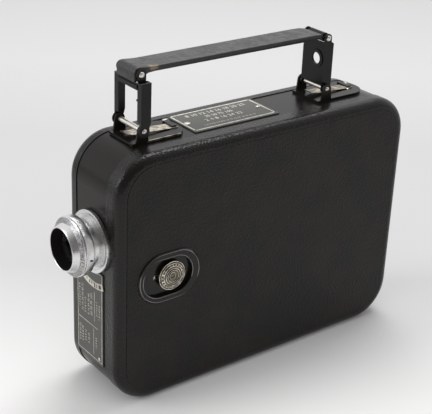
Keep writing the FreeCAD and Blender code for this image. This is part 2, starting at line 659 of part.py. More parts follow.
def sheet_pair(half, pin_y, offsets, eye_z, eye_radius):
    """Two upright sheets, one on each side, each with an outline and a round eye."""
    points = [(pin_y + away, z) for away, z in offsets]
    pair = []
    for x in (HANDLE_X - half, HANDLE_X + half - POST_SHEET):
        eye = rod_x(x, x + POST_SHEET, pin_y, eye_z, eye_radius)
        pair.append(prism_x(points, x, x + POST_SHEET).fuse(eye))
    return pair[0].fuse(pair[1])


def drill_pins(shape, pin_y, half):
    """Running hole on the low pin and a tight hole on the high pin."""
    reach = half + OVER
    shape = shape.cut(rod_x(HANDLE_X - reach, HANDLE_X + reach, pin_y, LOW_PIN_Z, ROD_RADIUS + RUN))
    shape = shape.cut(rod_x(HANDLE_X - reach, HANDLE_X + reach, pin_y, HIGH_PIN_Z, ROD_RADIUS))
    return shape.removeSplitter()


def build_handle():
    """Folding finder frame, finder eyepiece post and the grip that joins them."""
    save(bracket(FRONT_PIN_Y, FRONT_BRACKET_FRONT, FRONT_BRACKET_REAR, 1), "front_bracket")
    save(bracket(REAR_PIN_Y, REAR_BRACKET_FRONT, REAR_BRACKET_REAR, 1), "rear_bracket")
    save(leaf_spring(FRONT_PIN_Y, 1), "front_leaf_spring")
    save(leaf_spring(REAR_PIN_Y, 1), "rear_leaf_spring")
    save(hinge_rod(FRONT_PIN_Y, FRONT_POST_HALF + CLEAR), "front_hinge_rod")
    rear_rod = hinge_rod(REAR_PIN_Y, EAR_OUTER)
    save(rod_rings(rear_rod, REAR_PIN_Y, REAR_POST_HALF + CLEAR, EAR_INNER, COLLAR_RADIUS), "rear_hinge_rod")
    save(top_pin(FRONT_PIN_Y, FRONT_EAR_HALF), "front_top_pin")
    save(top_pin(REAR_PIN_Y, REAR_POST_HALF), "rear_top_pin")
    build_front_post()
    build_rear_post()
    build_grip()


def build_front_post():
    """Finder frame: two channel legs, a crossbar, and ears set in beside the grip."""
    face = FRONT_PIN_Y - FRONT_POST_FACE
    foot_z = LOW_PIN_Z + FRONT_FOOT_RISE
    frame = box(HANDLE_X - FRONT_POST_HALF, HANDLE_X + FRONT_POST_HALF, face, face + POST_SHEET, foot_z,
                CROSSBAR_HIGH)
    frame = frame.cut(box(HANDLE_X - FRONT_POST_OPENING, HANDLE_X + FRONT_POST_OPENING, face - OVER,
                          face + POST_SHEET + OVER, foot_z - OVER, CROSSBAR_LOW))
    frame = frame.fuse(box(HANDLE_X - FRONT_POST_OPENING, HANDLE_X + FRONT_POST_OPENING, face - RIB_HEIGHT,
                           face, CROSSBAR_LOW + RIB_INSET, CROSSBAR_HIGH - RIB_INSET))
    frame = frame.fuse(box(HANDLE_X + FRONT_POST_OPENING - NUB_REACH, HANDLE_X + FRONT_POST_OPENING, face,
                           face + POST_SHEET, NUB_Z - NUB_REACH / 2, NUB_Z + NUB_REACH / 2))
    legs = [(-FRONT_POST_FACE, LOW_PIN_Z), (-FRONT_POST_FACE, SHOULDER_Z), (FRONT_POST_DEPTH, SHOULDER_Z),
            (FRONT_POST_DEPTH, foot_z), (FRONT_POST_EAR, LOW_PIN_Z)]
    frame = frame.fuse(sheet_pair(FRONT_POST_HALF, FRONT_PIN_Y, legs, LOW_PIN_Z, FRONT_POST_FOOT))
    ears = [(-FRONT_POST_FACE, SHOULDER_Z), (-FRONT_POST_EAR, HIGH_PIN_Z), (FRONT_POST_EAR, HIGH_PIN_Z),
            (FRONT_POST_EAR, SHOULDER_Z)]
    frame = frame.fuse(sheet_pair(FRONT_EAR_HALF, FRONT_PIN_Y, ears, HIGH_PIN_Z, FRONT_POST_EAR))
    inner = FRONT_EAR_HALF - POST_SHEET
    for x0, x1 in ((-FRONT_POST_HALF, -inner), (inner, FRONT_POST_HALF)):
        frame = frame.fuse(box(HANDLE_X + x0, HANDLE_X + x1, face, FRONT_PIN_Y + FRONT_POST_DEPTH,
                               SHOULDER_Z - POST_SHEET, SHOULDER_Z))
    save(drill_pins(frame, FRONT_PIN_Y, FRONT_POST_HALF), "front_post")


def build_rear_post():
    """Finder eyepiece: a folded sheet with a round eye in line with the lens."""
    face = REAR_PIN_Y - REAR_POST_FACE
    foot_z = LOW_PIN_Z + POST_FOOT_RISE
    sheet = box(HANDLE_X - REAR_POST_HALF, HANDLE_X + REAR_POST_HALF, face, face + POST_SHEET, foot_z,
                REAR_POST_TOP)
    sheet = sheet.fuse(rod_y(face - EYE_RING_HEIGHT, face, EYE_X, EYE_Z, EYE_RING_RADIUS))
    sheet = sheet.cut(rod_y(face - OVER, face + OVER, EYE_X, EYE_Z, EYE_RADIUS))
    side = [(-REAR_POST_FACE, LOW_PIN_Z), (-REAR_POST_FACE, REAR_POST_TOP), (-REAR_POST_EAR, HIGH_PIN_Z),
            (REAR_POST_EAR, HIGH_PIN_Z), (REAR_POST_EAR, REAR_POST_TOP),
            (REAR_POST_DEPTH, REAR_POST_TOP - REAR_POST_SLOPE), (REAR_POST_DEPTH, foot_z),
            (REAR_POST_EAR, LOW_PIN_Z)]
    sheet = sheet.fuse(sheet_pair(REAR_POST_HALF, REAR_PIN_Y, side, LOW_PIN_Z, REAR_POST_EAR))
    for x in (HANDLE_X - REAR_POST_HALF, HANDLE_X + REAR_POST_HALF - POST_SHEET):
        sheet = sheet.fuse(rod_x(x, x + POST_SHEET, REAR_PIN_Y, HIGH_PIN_Z, REAR_POST_EAR))
    save(drill_pins(sheet, REAR_PIN_Y, REAR_POST_HALF), "rear_post")


def build_grip():
    """Grip rolled round the front pin, with a strap inside it that reaches the rear pin."""
    top = HIGH_PIN_Z + GRIP_OVER_PIN
    x0 = HANDLE_X - GRIP_HALF
    x1 = HANDLE_X + GRIP_HALF
    slab = box(x0, x1, FRONT_PIN_Y, GRIP_REAR_Y, top - GRIP_THICK, top)
    long_edges = [e for e in slab.Edges if abs(e.Vertexes[0].X - e.Vertexes[1].X) < 0.01
                  and abs(e.Vertexes[0].Z - e.Vertexes[1].Z) < 0.01]
    slab = slab.makeChamfer(GRIP_ROUND, long_edges)
    nose = rod_x(x0, x1, FRONT_PIN_Y, HIGH_PIN_Z, NOSE_RADIUS)
    wedge = prism_x([(FRONT_PIN_Y, HIGH_PIN_Z + NOSE_RADIUS), (NOSE_SWELL_Y, top - GRIP_ROUND),
                     (NOSE_SWELL_Y, top - GRIP_THICK + GRIP_ROUND), (FRONT_PIN_Y, HIGH_PIN_Z)], x0, x1)
    grip = slab.fuse(nose.fuse(wedge))
    strap_low = HIGH_PIN_Z + STRAP_OVER_PIN
    strap = box(HANDLE_X - STRAP_HALF, HANDLE_X + STRAP_HALF, STRAP_START_Y, REAR_PIN_Y, strap_low,
                strap_low + STRAP_THICK)
    eye = rod_x(HANDLE_X - STRAP_HALF, HANDLE_X + STRAP_HALF, REAR_PIN_Y, HIGH_PIN_Z, STRAP_EYE_RADIUS)
    grip = grip.cut(strap)
    strap = strap.fuse(eye).cut(rod_x(x0, x1, REAR_PIN_Y, HIGH_PIN_Z, ROD_RADIUS + OPEN_PIVOT))
    save(strap.removeSplitter(), "handle_strap")
    grip = grip.cut(rod_x(x0 - OVER, x1 + OVER, FRONT_PIN_Y, HIGH_PIN_Z, ROD_RADIUS + RUN))
    end = GRIP_REAR_Y + OVER
    for side in (-1, 1):
        corner = [(GRIP_HALF + OVER, GRIP_TAPER_Y), (GRIP_HALF + OVER, end), (GRIP_END_HALF, end),
                  (GRIP_END_HALF, GRIP_REAR_Y), (GRIP_HALF, GRIP_TAPER_Y)]
        outline = [(HANDLE_X + side * x, y) for x, y in corner]
        grip = grip.cut(prism_z(outline, top - GRIP_THICK - OVER, top + OVER))
    save(grip.removeSplitter(), "handle_grip")


def build_latch():
    """Oval bezel and pan in the door, and the sliding knob with its bolt."""
    back = DOOR_FACE - COVER_WALL
    bezel = stadium_x(BEZEL_Y, BEZEL_Z, BEZEL_STRAIGHT, BEZEL_RADIUS, DOOR_FACE, DOOR_FACE + BEZEL_HEIGHT)
    rim = [e for e in bezel.Edges if all(abs(v.X - DOOR_FACE - BEZEL_HEIGHT) < 0.01 for v in e.Vertexes)]
    bezel = bezel.makeChamfer(BEZEL_CHAMFER, rim)
    pan = stadium_x(RECESS_Y, BEZEL_Z, RECESS_STRAIGHT, RECESS_RADIUS + PAN_WALL, back, DOOR_FACE)
    bezel = bezel.fuse(pan)
    bezel = bezel.cut(stadium_x(RECESS_Y, BEZEL_Z, RECESS_STRAIGHT, RECESS_RADIUS, back + PAN_FLOOR,
                                DOOR_FACE + BEZEL_HEIGHT + OVER))
    bezel = bezel.cut(stadium_x(KNOB_Y - LATCH_TRAVEL / 2, KNOB_Z, LATCH_TRAVEL / 2, SHANK_RADIUS + CLEAR,
                                back - OVER, DOOR_FACE))
    save(bezel.removeSplitter(), "latch_bezel")

    floor = back + PAN_FLOOR + CLEAR
    step = KNOB_FACE - KNOB_STEP
    knob = turned_x([(floor, 0), (floor, KNOB_RADIUS), (step - KNOB_BREAK, KNOB_RADIUS),
                     (step, KNOB_RADIUS - KNOB_BREAK), (step, KNOB_RIDGE_OUTER),
                     (KNOB_FACE, KNOB_RIDGE_OUTER - KNOB_BREAK), (KNOB_FACE, KNOB_RIDGE_INNER),
                     (step, KNOB_DISH_RADIUS), (step - KNOB_DISH, 0)], KNOB_Y, KNOB_Z)
    save(knob, "latch_knob")

    bolt_near = back - CLEAR
    bolt = box(bolt_near - BOLT_THICK, bolt_near, BOLT_FRONT, BOLT_REAR, KNOB_Z - BOLT_HALF,
               KNOB_Z + BOLT_HALF)
    bolt = bolt.fuse(rod_x(bolt_near, floor, KNOB_Y, KNOB_Z, SHANK_RADIUS))
    save(bolt, "latch_bolt")


def spool(z, bore):
    half = SPOOL_INNER / 2
    reel = rod_x(FILM_X - half, FILM_X + half, SPOOL_Y, z, SPOOL_CORE)
    reel = reel.fuse(rod_x(FILM_X - half - SPOOL_FLANGE, FILM_X - half, SPOOL_Y, z, SPOOL_RADIUS))
    reel = reel.fuse(rod_x(FILM_X + half, FILM_X + half + SPOOL_FLANGE, SPOOL_Y, z, SPOOL_RADIUS))
    for index in range(3):
        angle = math.radians(90 + 120 * index)
        y = SPOOL_Y + SPOOL_WINDOW_CIRCLE * math.cos(angle)
        window_z = z + SPOOL_WINDOW_CIRCLE * math.sin(angle)
        reel = reel.cut(rod_x(FILM_X - half - OVER, FILM_X + half + OVER, y, window_z, SPOOL_WINDOW_RADIUS))
    return reel.cut(rod_x(FILM_X - half - OVER, FILM_X + half + OVER, SPOOL_Y, z, bore))


def build_chamber():
    """Spools, film gate, pressure pad, claw and guide rollers."""
    far = PLATE_NEAR - PLATE_THICK
    spool_far = FILM_X - SPOOL_INNER / 2 - SPOOL_FLANGE
    tip = FILM_X + SPOOL_INNER / 2 + SPOOL_FLANGE + SPINDLE_TIP
    save(spool(SUPPLY_Z, SPINDLE_RADIUS + RUN), "supply_spool")
    save(spool(TAKEUP_Z, SPINDLE_RADIUS), "takeup_spool")
    spindle = rod_x(PLATE_NEAR, tip, SPOOL_Y, SUPPLY_Z, SPINDLE_RADIUS)
    spindle = spindle.fuse(rod_x(PLATE_NEAR, spool_far - CLEAR, SPOOL_Y, SUPPLY_Z, SPINDLE_SHOULDER))
    save(spindle, "supply_spindle")
    spindle = rod_x(PLATE_NEAR + CLEAR, tip, SPOOL_Y, TAKEUP_Z, SPINDLE_RADIUS)
    spindle = spindle.fuse(rod_x(PLATE_NEAR + CLEAR, spool_far, SPOOL_Y, TAKEUP_Z, SPINDLE_SHOULDER))
    drive = far - CLEAR - WHEEL_THICK
    spindle = spindle.fuse(rod_x(drive, PLATE_NEAR + CLEAR, SPOOL_Y, TAKEUP_Z, ARBOR_RADIUS))
    spindle = spindle.fuse(rod_x(drive, far - CLEAR, SPOOL_Y, TAKEUP_Z, SPINDLE_SHOULDER))
    save(spindle.removeSplitter(), "takeup_spindle")

    gate = box(PLATE_NEAR, GATE_NEAR, GATE_Y, GATE_Y + GATE_THICK, LENS_Z - GATE_HALF_HEIGHT,
               LENS_Z + GATE_HALF_HEIGHT)
    gate = gate.cut(box(LENS_X - APERTURE_HALF_X, LENS_X + APERTURE_HALF_X, GATE_Y - OVER,
                        GATE_Y + GATE_THICK + OVER, LENS_Z - APERTURE_HALF_Z, LENS_Z + APERTURE_HALF_Z))
    gate = gate.cut(box(CLAW_FINGER_X - FINGER_SLOT_HALF, CLAW_FINGER_X + FINGER_SLOT_HALF, GATE_Y - OVER,
                        GATE_Y + GATE_THICK + OVER, CLAW_FINGER_Z - FINGER_HEIGHT,
                        CLAW_FINGER_Z + CLAW_TRAVEL + FINGER_HEIGHT))
    save(gate, "gate_plate")

    pad_front = GATE_Y + GATE_THICK + CLEAR
    pad = box(FILM_X - PAD_HALF_X, FILM_X + PAD_HALF_X, pad_front, pad_front + PAD_THICK, LENS_Z - PAD_HALF_Z,
              LENS_Z + PAD_HALF_Z)
    pad = pad.fuse(rod_y(pad_front, PAD_STEM_END, FILM_X, LENS_Z, PAD_STEM_RADIUS))
    save(pad, "pressure_pad")
    holder = box(PLATE_NEAR, FILM_X + PAD_HOLDER_HALF, PAD_HOLDER_Y, PAD_HOLDER_Y + HOLDER_THICK,
                 LENS_Z - PAD_HOLDER_HALF, LENS_Z + PAD_HOLDER_HALF)
    holder = holder.cut(rod_y(PAD_HOLDER_Y - OVER, PAD_HOLDER_Y + HOLDER_THICK + OVER, FILM_X, LENS_Z,
                              PAD_STEM_RADIUS + RUN))
    save(holder, "pad_holder")

    arm_far = PLATE_NEAR + CLAW_STAND
    arm = box(arm_far, arm_far + CLAW_THICK, CLAW_Y - CLAW_HALF, CLAW_Y + CLAW_HALF, CLAW_LOW, CLAW_HIGH)
    slot_low = STUD_LOW_Z - CLAW_TRAVEL - STUD_RADIUS - RUN
    slot_high = STUD_HIGH_Z + STUD_RADIUS + RUN
    arm = arm.cut(box(arm_far - OVER, arm_far + CLAW_THICK + OVER, CLAW_Y - STUD_RADIUS - RUN,
                      CLAW_Y + STUD_RADIUS + RUN, slot_low, slot_high))
    finger_top = CLAW_FINGER_Z + FINGER_HEIGHT
    arm = arm.fuse(box(arm_far, CLAW_FINGER_X + FINGER_HALF, CLAW_Y, CLAW_Y + FINGER_HEIGHT, CLAW_FINGER_Z,
                       finger_top))
    arm = arm.fuse(box(CLAW_FINGER_X - FINGER_HALF, CLAW_FINGER_X + FINGER_HALF, CLAW_Y, GATE_Y + GATE_THICK,
                       CLAW_FINGER_Z, finger_top))
    save(arm.removeSplitter(), "claw")
    studs = []
    for z in (STUD_LOW_Z, STUD_HIGH_Z):
        head = arm_far + CLAW_THICK + CLEAR
        stud = rod_x(PLATE_NEAR, head, CLAW_Y, z, STUD_RADIUS)
        cap = rod_x(head, head + STUD_HEAD, CLAW_Y, z, STUD_RADIUS * HEAD_RATIO)
        studs.append(stud.fuse(cap).removeSplitter())
    save(Part.makeCompound(studs), "claw_studs")

    posts = []
    for name, z in (("upper_roller", ROLLER_HIGH_Z), ("lower_roller", ROLLER_LOW_Z)):
        roller = rod_x(FILM_X - ROLLER_HALF, FILM_X + ROLLER_HALF, ROLLER_Y, z, ROLLER_RADIUS)
        waist = ROLLER_HALF - ROLLER_SHOULDER
        groove = rod_x(FILM_X - waist, FILM_X + waist, ROLLER_Y, z, ROLLER_RADIUS + OVER)
        groove = groove.cut(rod_x(FILM_X - ROLLER_HALF, FILM_X + ROLLER_HALF, ROLLER_Y, z,
                                  ROLLER_RADIUS - ROLLER_WAIST))
        bore = rod_x(FILM_X - ROLLER_HALF - OVER, FILM_X + ROLLER_HALF + OVER, ROLLER_Y, z,
                     ARBOR_RADIUS + RUN)
        roller = roller.cut(groove).cut(bore)
        save(roller, name)
        post = rod_x(PLATE_NEAR, FILM_X + ROLLER_HALF + CLEAR, ROLLER_Y, z, ARBOR_RADIUS)
        cap = FILM_X + ROLLER_HALF + CLEAR
        head = rod_x(cap, cap + ROLLER_CAP, ROLLER_Y, z, ARBOR_RADIUS * HEAD_RATIO)
        posts.append(post.fuse(head).removeSplitter())
    save(Part.makeCompound(posts), "roller_posts")


def bevel_x(y, z):
    """Plain bevel about X whose apex lies on the shutter shaft."""
    return turned_x([(SHUTTER_X - BEVEL_FAR, 0), (SHUTTER_X - BEVEL_FAR, BEVEL_FAR - BEVEL_RELIEF),
                     (SHUTTER_X - BEVEL_NEAR, BEVEL_NEAR - BEVEL_RELIEF), (SHUTTER_X - BEVEL_NEAR, 0)], y, z)


def build_motor():
    """Spring barrel, wheel train, governor and shutter."""
    far_end = COVER_FACE + COVER_WALL + CLEAR
    near_end = PLATE_NEAR - CLEAR
    drum = rod_x(DRUM_FAR, LEVEL_TWO, WHEEL_A_Y, TRAIN_Z, DRUM_RADIUS)
    two_end = LEVEL_TWO + WHEEL_THICK
    drum = drum.fuse(gear(TEETH_A_COUNT, MODULE_MAIN, WHEEL_A_Y, TRAIN_Z, LEVEL_TWO, two_end, 0, 0))
    drum = drum.cut(rod_x(DRUM_FAR - OVER, two_end + OVER, WHEEL_A_Y, TRAIN_Z, WIND_ARBOR_RADIUS + RUN))
    save(drum, "spring_barrel")

    wheel = rod_x(far_end, near_end, WHEEL_B_Y, TRAIN_Z, ARBOR_RADIUS)
    one_end = LEVEL_ONE + WHEEL_THICK
    wheel = wheel.fuse(gear(TEETH_B_COUNT, MODULE_MAIN, WHEEL_B_Y, TRAIN_Z, LEVEL_TWO, LEVEL_ONE, 0,
                            math.pi / TEETH_B_COUNT))
    wheel = wheel.fuse(gear(TEETH_B2_COUNT, MODULE_FINE, WHEEL_B_Y, TRAIN_Z, LEVEL_ONE, one_end, 0, 0))
    save(wheel, "second_wheel")

    wheel = rod_x(far_end, near_end, WHEEL_C_Y, TRAIN_Z, ARBOR_RADIUS)
    three_end = LEVEL_THREE + WHEEL_THICK
    wheel = wheel.fuse(gear(TEETH_C_COUNT, MODULE_FINE, WHEEL_C_Y, TRAIN_Z, LEVEL_ONE, one_end, 0,
                            math.pi / TEETH_C_COUNT))
    wheel = wheel.fuse(gear(TEETH_C2_COUNT, MODULE_FINE, WHEEL_C_Y, TRAIN_Z, LEVEL_THREE, three_end, 0, 0))
    save(wheel, "third_wheel")

    wheel = rod_x(far_end, SHUTTER_X - BEVEL_FAR, WHEEL_D_Y, TRAIN_Z, ARBOR_RADIUS)
    wheel = wheel.fuse(gear(TEETH_D_COUNT, MODULE_FINE, WHEEL_D_Y, TRAIN_Z, LEVEL_THREE, three_end, 0,
                            math.pi / TEETH_D_COUNT))
    wheel = wheel.fuse(bevel_x(WHEEL_D_Y, TRAIN_Z))
    save(wheel, "fourth_wheel")

    governor = rod_x(far_end, near_end, WHEEL_C_Y, GOVERNOR_Z, ARBOR_RADIUS)
    pinion = gear(TEETH_G_COUNT, MODULE_FINE, WHEEL_C_Y, GOVERNOR_Z, LEVEL_THREE, three_end, 0,
                  math.pi / TEETH_G_COUNT)
    governor = governor.fuse(pinion)
    disc_end = GOVERNOR_DISC_X + GOVERNOR_DISC_THICK
    governor = governor.fuse(rod_x(GOVERNOR_DISC_X, disc_end, WHEEL_C_Y, GOVERNOR_Z, GOVERNOR_RADIUS))
    weight_end = GOVERNOR_DISC_X + WEIGHT_THICK
    for y in (WHEEL_C_Y - WEIGHT_CIRCLE, WHEEL_C_Y + WEIGHT_CIRCLE):
        governor = governor.fuse(rod_x(GOVERNOR_DISC_X, weight_end, y, GOVERNOR_Z, WEIGHT_RADIUS))
    save(governor, "governor")

    bridge_x = LEVEL_ONE + CLEAR
    bridge_low = BEVEL_WINDOW_LOW - BRIDGE_REACH
    bridge_high = BEVEL_WINDOW_HIGH + BRIDGE_REACH
    bridge_front = WHEEL_D_Y - BRIDGE_HALF
    bridge_rear = WHEEL_D_Y + BRIDGE_HALF
    bridge = box(bridge_x - BRIDGE_THICK, bridge_x, bridge_front, bridge_rear, bridge_low, bridge_high)
    for z in (bridge_low, bridge_high - BRIDGE_FOOT):
        foot = box(bridge_x, PLATE_NEAR - PLATE_THICK, bridge_front, bridge_rear, z, z + BRIDGE_FOOT)
        bridge = bridge.fuse(foot)
    bridge = bridge.cut(rod_x(bridge_x - BRIDGE_THICK - OVER, bridge_x + OVER, WHEEL_D_Y, TRAIN_Z,
                              ARBOR_RADIUS + RUN))
    save(bridge.removeSplitter(), "bevel_bridge")

    front_wall = CASE_FRONT + BAND_STEP + BAND_WALL
    bearing = rod_y(front_wall, SHUTTER_Y - BEARING_GAP, SHUTTER_X, TRAIN_Z, SHUTTER_BOSS_RADIUS)
    bearing = bearing.cut(rod_y(front_wall - OVER, SHUTTER_Y, SHUTTER_X, TRAIN_Z, SHUTTER_SHAFT_RADIUS + RUN))
    save(bearing, "shutter_bearing")

    shaft = rod_y(front_wall + CLEAR, WHEEL_D_Y - BEVEL_FAR, SHUTTER_X, TRAIN_Z, SHUTTER_SHAFT_RADIUS)
    cone = turned_y([(WHEEL_D_Y - BEVEL_FAR, 0), (WHEEL_D_Y - BEVEL_FAR, BEVEL_FAR - BEVEL_RELIEF),
                     (WHEEL_D_Y - BEVEL_NEAR, BEVEL_NEAR - BEVEL_RELIEF), (WHEEL_D_Y - BEVEL_NEAR, 0)],
                    SHUTTER_X, TRAIN_Z)
    save(shaft.fuse(cone).removeSplitter(), "shutter_shaft")
    disc = rod_y(SHUTTER_Y, SHUTTER_Y + SHUTTER_THICK, SHUTTER_X, TRAIN_Z, SHUTTER_RADIUS)
    reach = SHUTTER_RADIUS * 2
    before = SHUTTER_Y - OVER
    behind = SHUTTER_Y + OVER
    opening = box(SHUTTER_X - reach, SHUTTER_X + reach, before, behind, TRAIN_Z - reach, TRAIN_Z)
    opening = opening.cut(rod_y(before, behind, SHUTTER_X, TRAIN_Z, SHUTTER_HUB_RADIUS))
    disc = disc.cut(opening).cut(rod_y(before, behind, SHUTTER_X, TRAIN_Z, SHUTTER_SHAFT_RADIUS))
    save(disc, "shutter_disc")


def build_outside_right():
    """Winding key, release slide and footage dial on the motor side."""
    hub_near = COVER_FACE - CLEAR
    hub_far = hub_near - KEY_HUB_THICK
    arbor = rod_x(hub_near, LEVEL_ONE, WHEEL_A_Y, TRAIN_Z, WIND_ARBOR_RADIUS)
    arbor = arbor.fuse(rod_x(LEVEL_ONE, PLATE_NEAR - CLEAR, WHEEL_A_Y, TRAIN_Z, ARBOR_RADIUS))
    save(arbor, "winding_arbor")

    hub = rod_x(hub_far, hub_near, WHEEL_A_Y, TRAIN_Z, KEY_HUB_RADIUS)
    hub = hub.makeChamfer(HUB_CHAMFER, circles_at(hub, hub_far))
    wing_half = KEY_WING_HALF
    hub = hub.cut(box(hub_far - OVER, hub_near - KEY_FLOOR, WHEEL_A_Y - wing_half - CLEAR,
                      WHEEL_A_Y + wing_half + CLEAR, TRAIN_Z - KEY_HUB_RADIUS - OVER,
                      TRAIN_Z + KEY_WING_THICK / 2 + CLEAR * 2))
    pivot_x = hub_near - KEY_FLOOR - CLEAR - KEY_WING_THICK / 2
    hub = hub.fuse(rod_y(WHEEL_A_Y - wing_half - CLEAR, WHEEL_A_Y + wing_half + CLEAR, pivot_x, TRAIN_Z,
                         KEY_PIVOT_RADIUS))
    save(hub.removeSplitter(), "winding_hub")

    neck = TRAIN_Z - KEY_NECK
    end = TRAIN_Z - KEY_WING_LENGTH
    x0 = pivot_x - KEY_WING_THICK / 2
    half = [(wing_half, TRAIN_Z), (wing_half, neck), (KEY_TAB_HALF, neck - KEY_SWELL),
            (KEY_TAB_HALF, end + KEY_CORNER), (KEY_TAB_HALF - KEY_CORNER, end)]
    outline = [(WHEEL_A_Y - y, z) for y, z in half] + [(WHEEL_A_Y + y, z) for y, z in reversed(half)]
    wing = prism_x(outline, x0, x0 + KEY_WING_THICK)
    wing = wing.fuse(rod_y(WHEEL_A_Y - wing_half, WHEEL_A_Y + wing_half, pivot_x, TRAIN_Z,
                           KEY_WING_THICK / 2))
    wing = wing.cut(rod_y(WHEEL_A_Y - KEY_TAB_HALF, WHEEL_A_Y + KEY_TAB_HALF, pivot_x, TRAIN_Z,
                          KEY_PIVOT_RADIUS + RUN))
    save(wing.removeSplitter(), "winding_wing")

    stem_in = COVER_FACE + COVER_WALL + CLEAR
    button = rod_x(hub_near - BUTTON_THICK, hub_near, LEVER_Y, LEVER_Z, LEVER_HALF)
    button = button.makeChamfer(BUTTON_CHAMFER, circles_at(button, hub_near - BUTTON_THICK))
    button = button.fuse(rod_x(hub_near, stem_in, LEVER_Y, LEVER_Z, LEVER_SLOT_HALF - CLEAR))
    button = button.fuse(rod_x(stem_in, stem_in + RETAINER_THICK, LEVER_Y, LEVER_Z, RETAINER_RADIUS))
    save(button.removeSplitter(), "release_slide")

    dial_x = COVER_FACE + COVER_WALL + CLEAR
    dial = rod_x(dial_x, dial_x + DIAL_THICK, DIAL_Y, DIAL_Z, DIAL_RADIUS)
    bore = rod_x(dial_x - OVER, dial_x + DIAL_THICK + OVER, DIAL_Y, DIAL_Z, ARBOR_RADIUS + RUN)
    save(dial.cut(bore), "footage_dial")
    save(rod_x(dial_x, PLATE_NEAR - PLATE_THICK, DIAL_Y, DIAL_Z, ARBOR_RADIUS), "dial_post")
    window = COVER_FACE + WINDOW_INSET
    save(rod_x(window, window + WINDOW_THICK, DIAL_Y, DIAL_Z, WINDOW_RADIUS), "dial_window")


os.makedirs("parts", exist_ok=True)
build_case()
build_lens()
build_etched_plates()
build_handle()
build_latch()
build_chamber()
build_motor()
build_outside_right()
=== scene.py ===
import json
import math
import bpy
import bmesh
from mathutils import Matrix, Vector


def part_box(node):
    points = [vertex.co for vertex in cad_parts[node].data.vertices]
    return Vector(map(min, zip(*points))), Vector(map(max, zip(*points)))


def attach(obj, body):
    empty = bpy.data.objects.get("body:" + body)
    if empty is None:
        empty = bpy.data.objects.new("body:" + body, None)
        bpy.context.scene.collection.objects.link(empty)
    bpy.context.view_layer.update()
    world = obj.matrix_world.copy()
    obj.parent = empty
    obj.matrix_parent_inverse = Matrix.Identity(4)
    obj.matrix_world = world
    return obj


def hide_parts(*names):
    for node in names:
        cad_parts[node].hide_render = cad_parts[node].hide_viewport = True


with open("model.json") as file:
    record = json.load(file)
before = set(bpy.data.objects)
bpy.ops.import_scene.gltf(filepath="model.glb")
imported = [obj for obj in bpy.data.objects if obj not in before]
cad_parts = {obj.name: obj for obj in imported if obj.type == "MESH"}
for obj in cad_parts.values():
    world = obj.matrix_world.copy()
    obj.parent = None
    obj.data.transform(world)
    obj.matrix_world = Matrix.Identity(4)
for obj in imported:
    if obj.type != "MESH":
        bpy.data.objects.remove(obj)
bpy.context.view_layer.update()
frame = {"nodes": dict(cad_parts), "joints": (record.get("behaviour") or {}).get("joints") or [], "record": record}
nodes = frame["nodes"]
MM = 0.001
BUMP_DETAIL = 4.0
TONE_DETAIL = 5.0
FIGURE_DEPTH = 0.03
WEAR_DETAIL = 6.0


def make_material(name, color, rough, metal=0.0, transmission=0.0, ior=1.5):
    """A plain shader whose constants sit on its own sockets."""
    material = bpy.data.materials.new(name)
    material.use_nodes = True
    shader = material.node_tree.nodes["Principled BSDF"]
    shader.inputs["Base Color"].default_value = (*color, 1.0)
    shader.inputs["Roughness"].default_value = rough
    shader.inputs["Metallic"].default_value = metal
    shader.inputs["Transmission Weight"].default_value = transmission
    shader.inputs["IOR"].default_value = ior
    return material


def add_bump(material, kind, scale, strength, distance, stretch=None):
    """Relief from a noise or cell pattern in object space."""
    tree = material.node_tree
    shader = tree.nodes["Principled BSDF"]
    place = tree.nodes.new("ShaderNodeTexCoord")
    mapping = tree.nodes.new("ShaderNodeMapping")
    if stretch:
        mapping.inputs["Scale"].default_value = stretch
    if kind == "cells":
        texture = tree.nodes.new("ShaderNodeTexVoronoi")
        out = texture.outputs["Distance"]
    else:
        texture = tree.nodes.new("ShaderNodeTexNoise")
        texture.inputs["Detail"].default_value = BUMP_DETAIL
        out = texture.outputs["Fac"]
    texture.inputs["Scale"].default_value = scale
    bump = tree.nodes.new("ShaderNodeBump")
    bump.inputs["Strength"].default_value = strength
    bump.inputs["Distance"].default_value = distance
    tree.links.new(place.outputs["Object"], mapping.inputs["Vector"])
    tree.links.new(mapping.outputs["Vector"], texture.inputs["Vector"])
    tree.links.new(out, bump.inputs["Height"])
    tree.links.new(bump.outputs["Normal"], shader.inputs["Normal"])


def vary(material, socket, low, high, scale, start=0.4, end=0.65):
    """Lets noise move one socket between two values."""
    tree = material.node_tree
    shader = tree.nodes["Principled BSDF"]
    place = tree.nodes.new("ShaderNodeTexCoord")
    noise = tree.nodes.new("ShaderNodeTexNoise")
    noise.inputs["Scale"].default_value = scale
    noise.inputs["Detail"].default_value = TONE_DETAIL
    ramp = tree.nodes.new("ShaderNodeValToRGB")
    ramp.color_ramp.elements[0].position = start
    ramp.color_ramp.elements[1].position = end
    if isinstance(low, (int, float)):
        low = (low,) * 3
        high = (high,) * 3
    ramp.color_ramp.elements[0].color = (*low, 1.0)
    ramp.color_ramp.elements[1].color = (*high, 1.0)
    tree.links.new(place.outputs["Object"], noise.inputs["Vector"])
    tree.links.new(noise.outputs["Fac"], ramp.inputs["Fac"])
    tree.links.new(ramp.outputs["Color"], shader.inputs[socket])


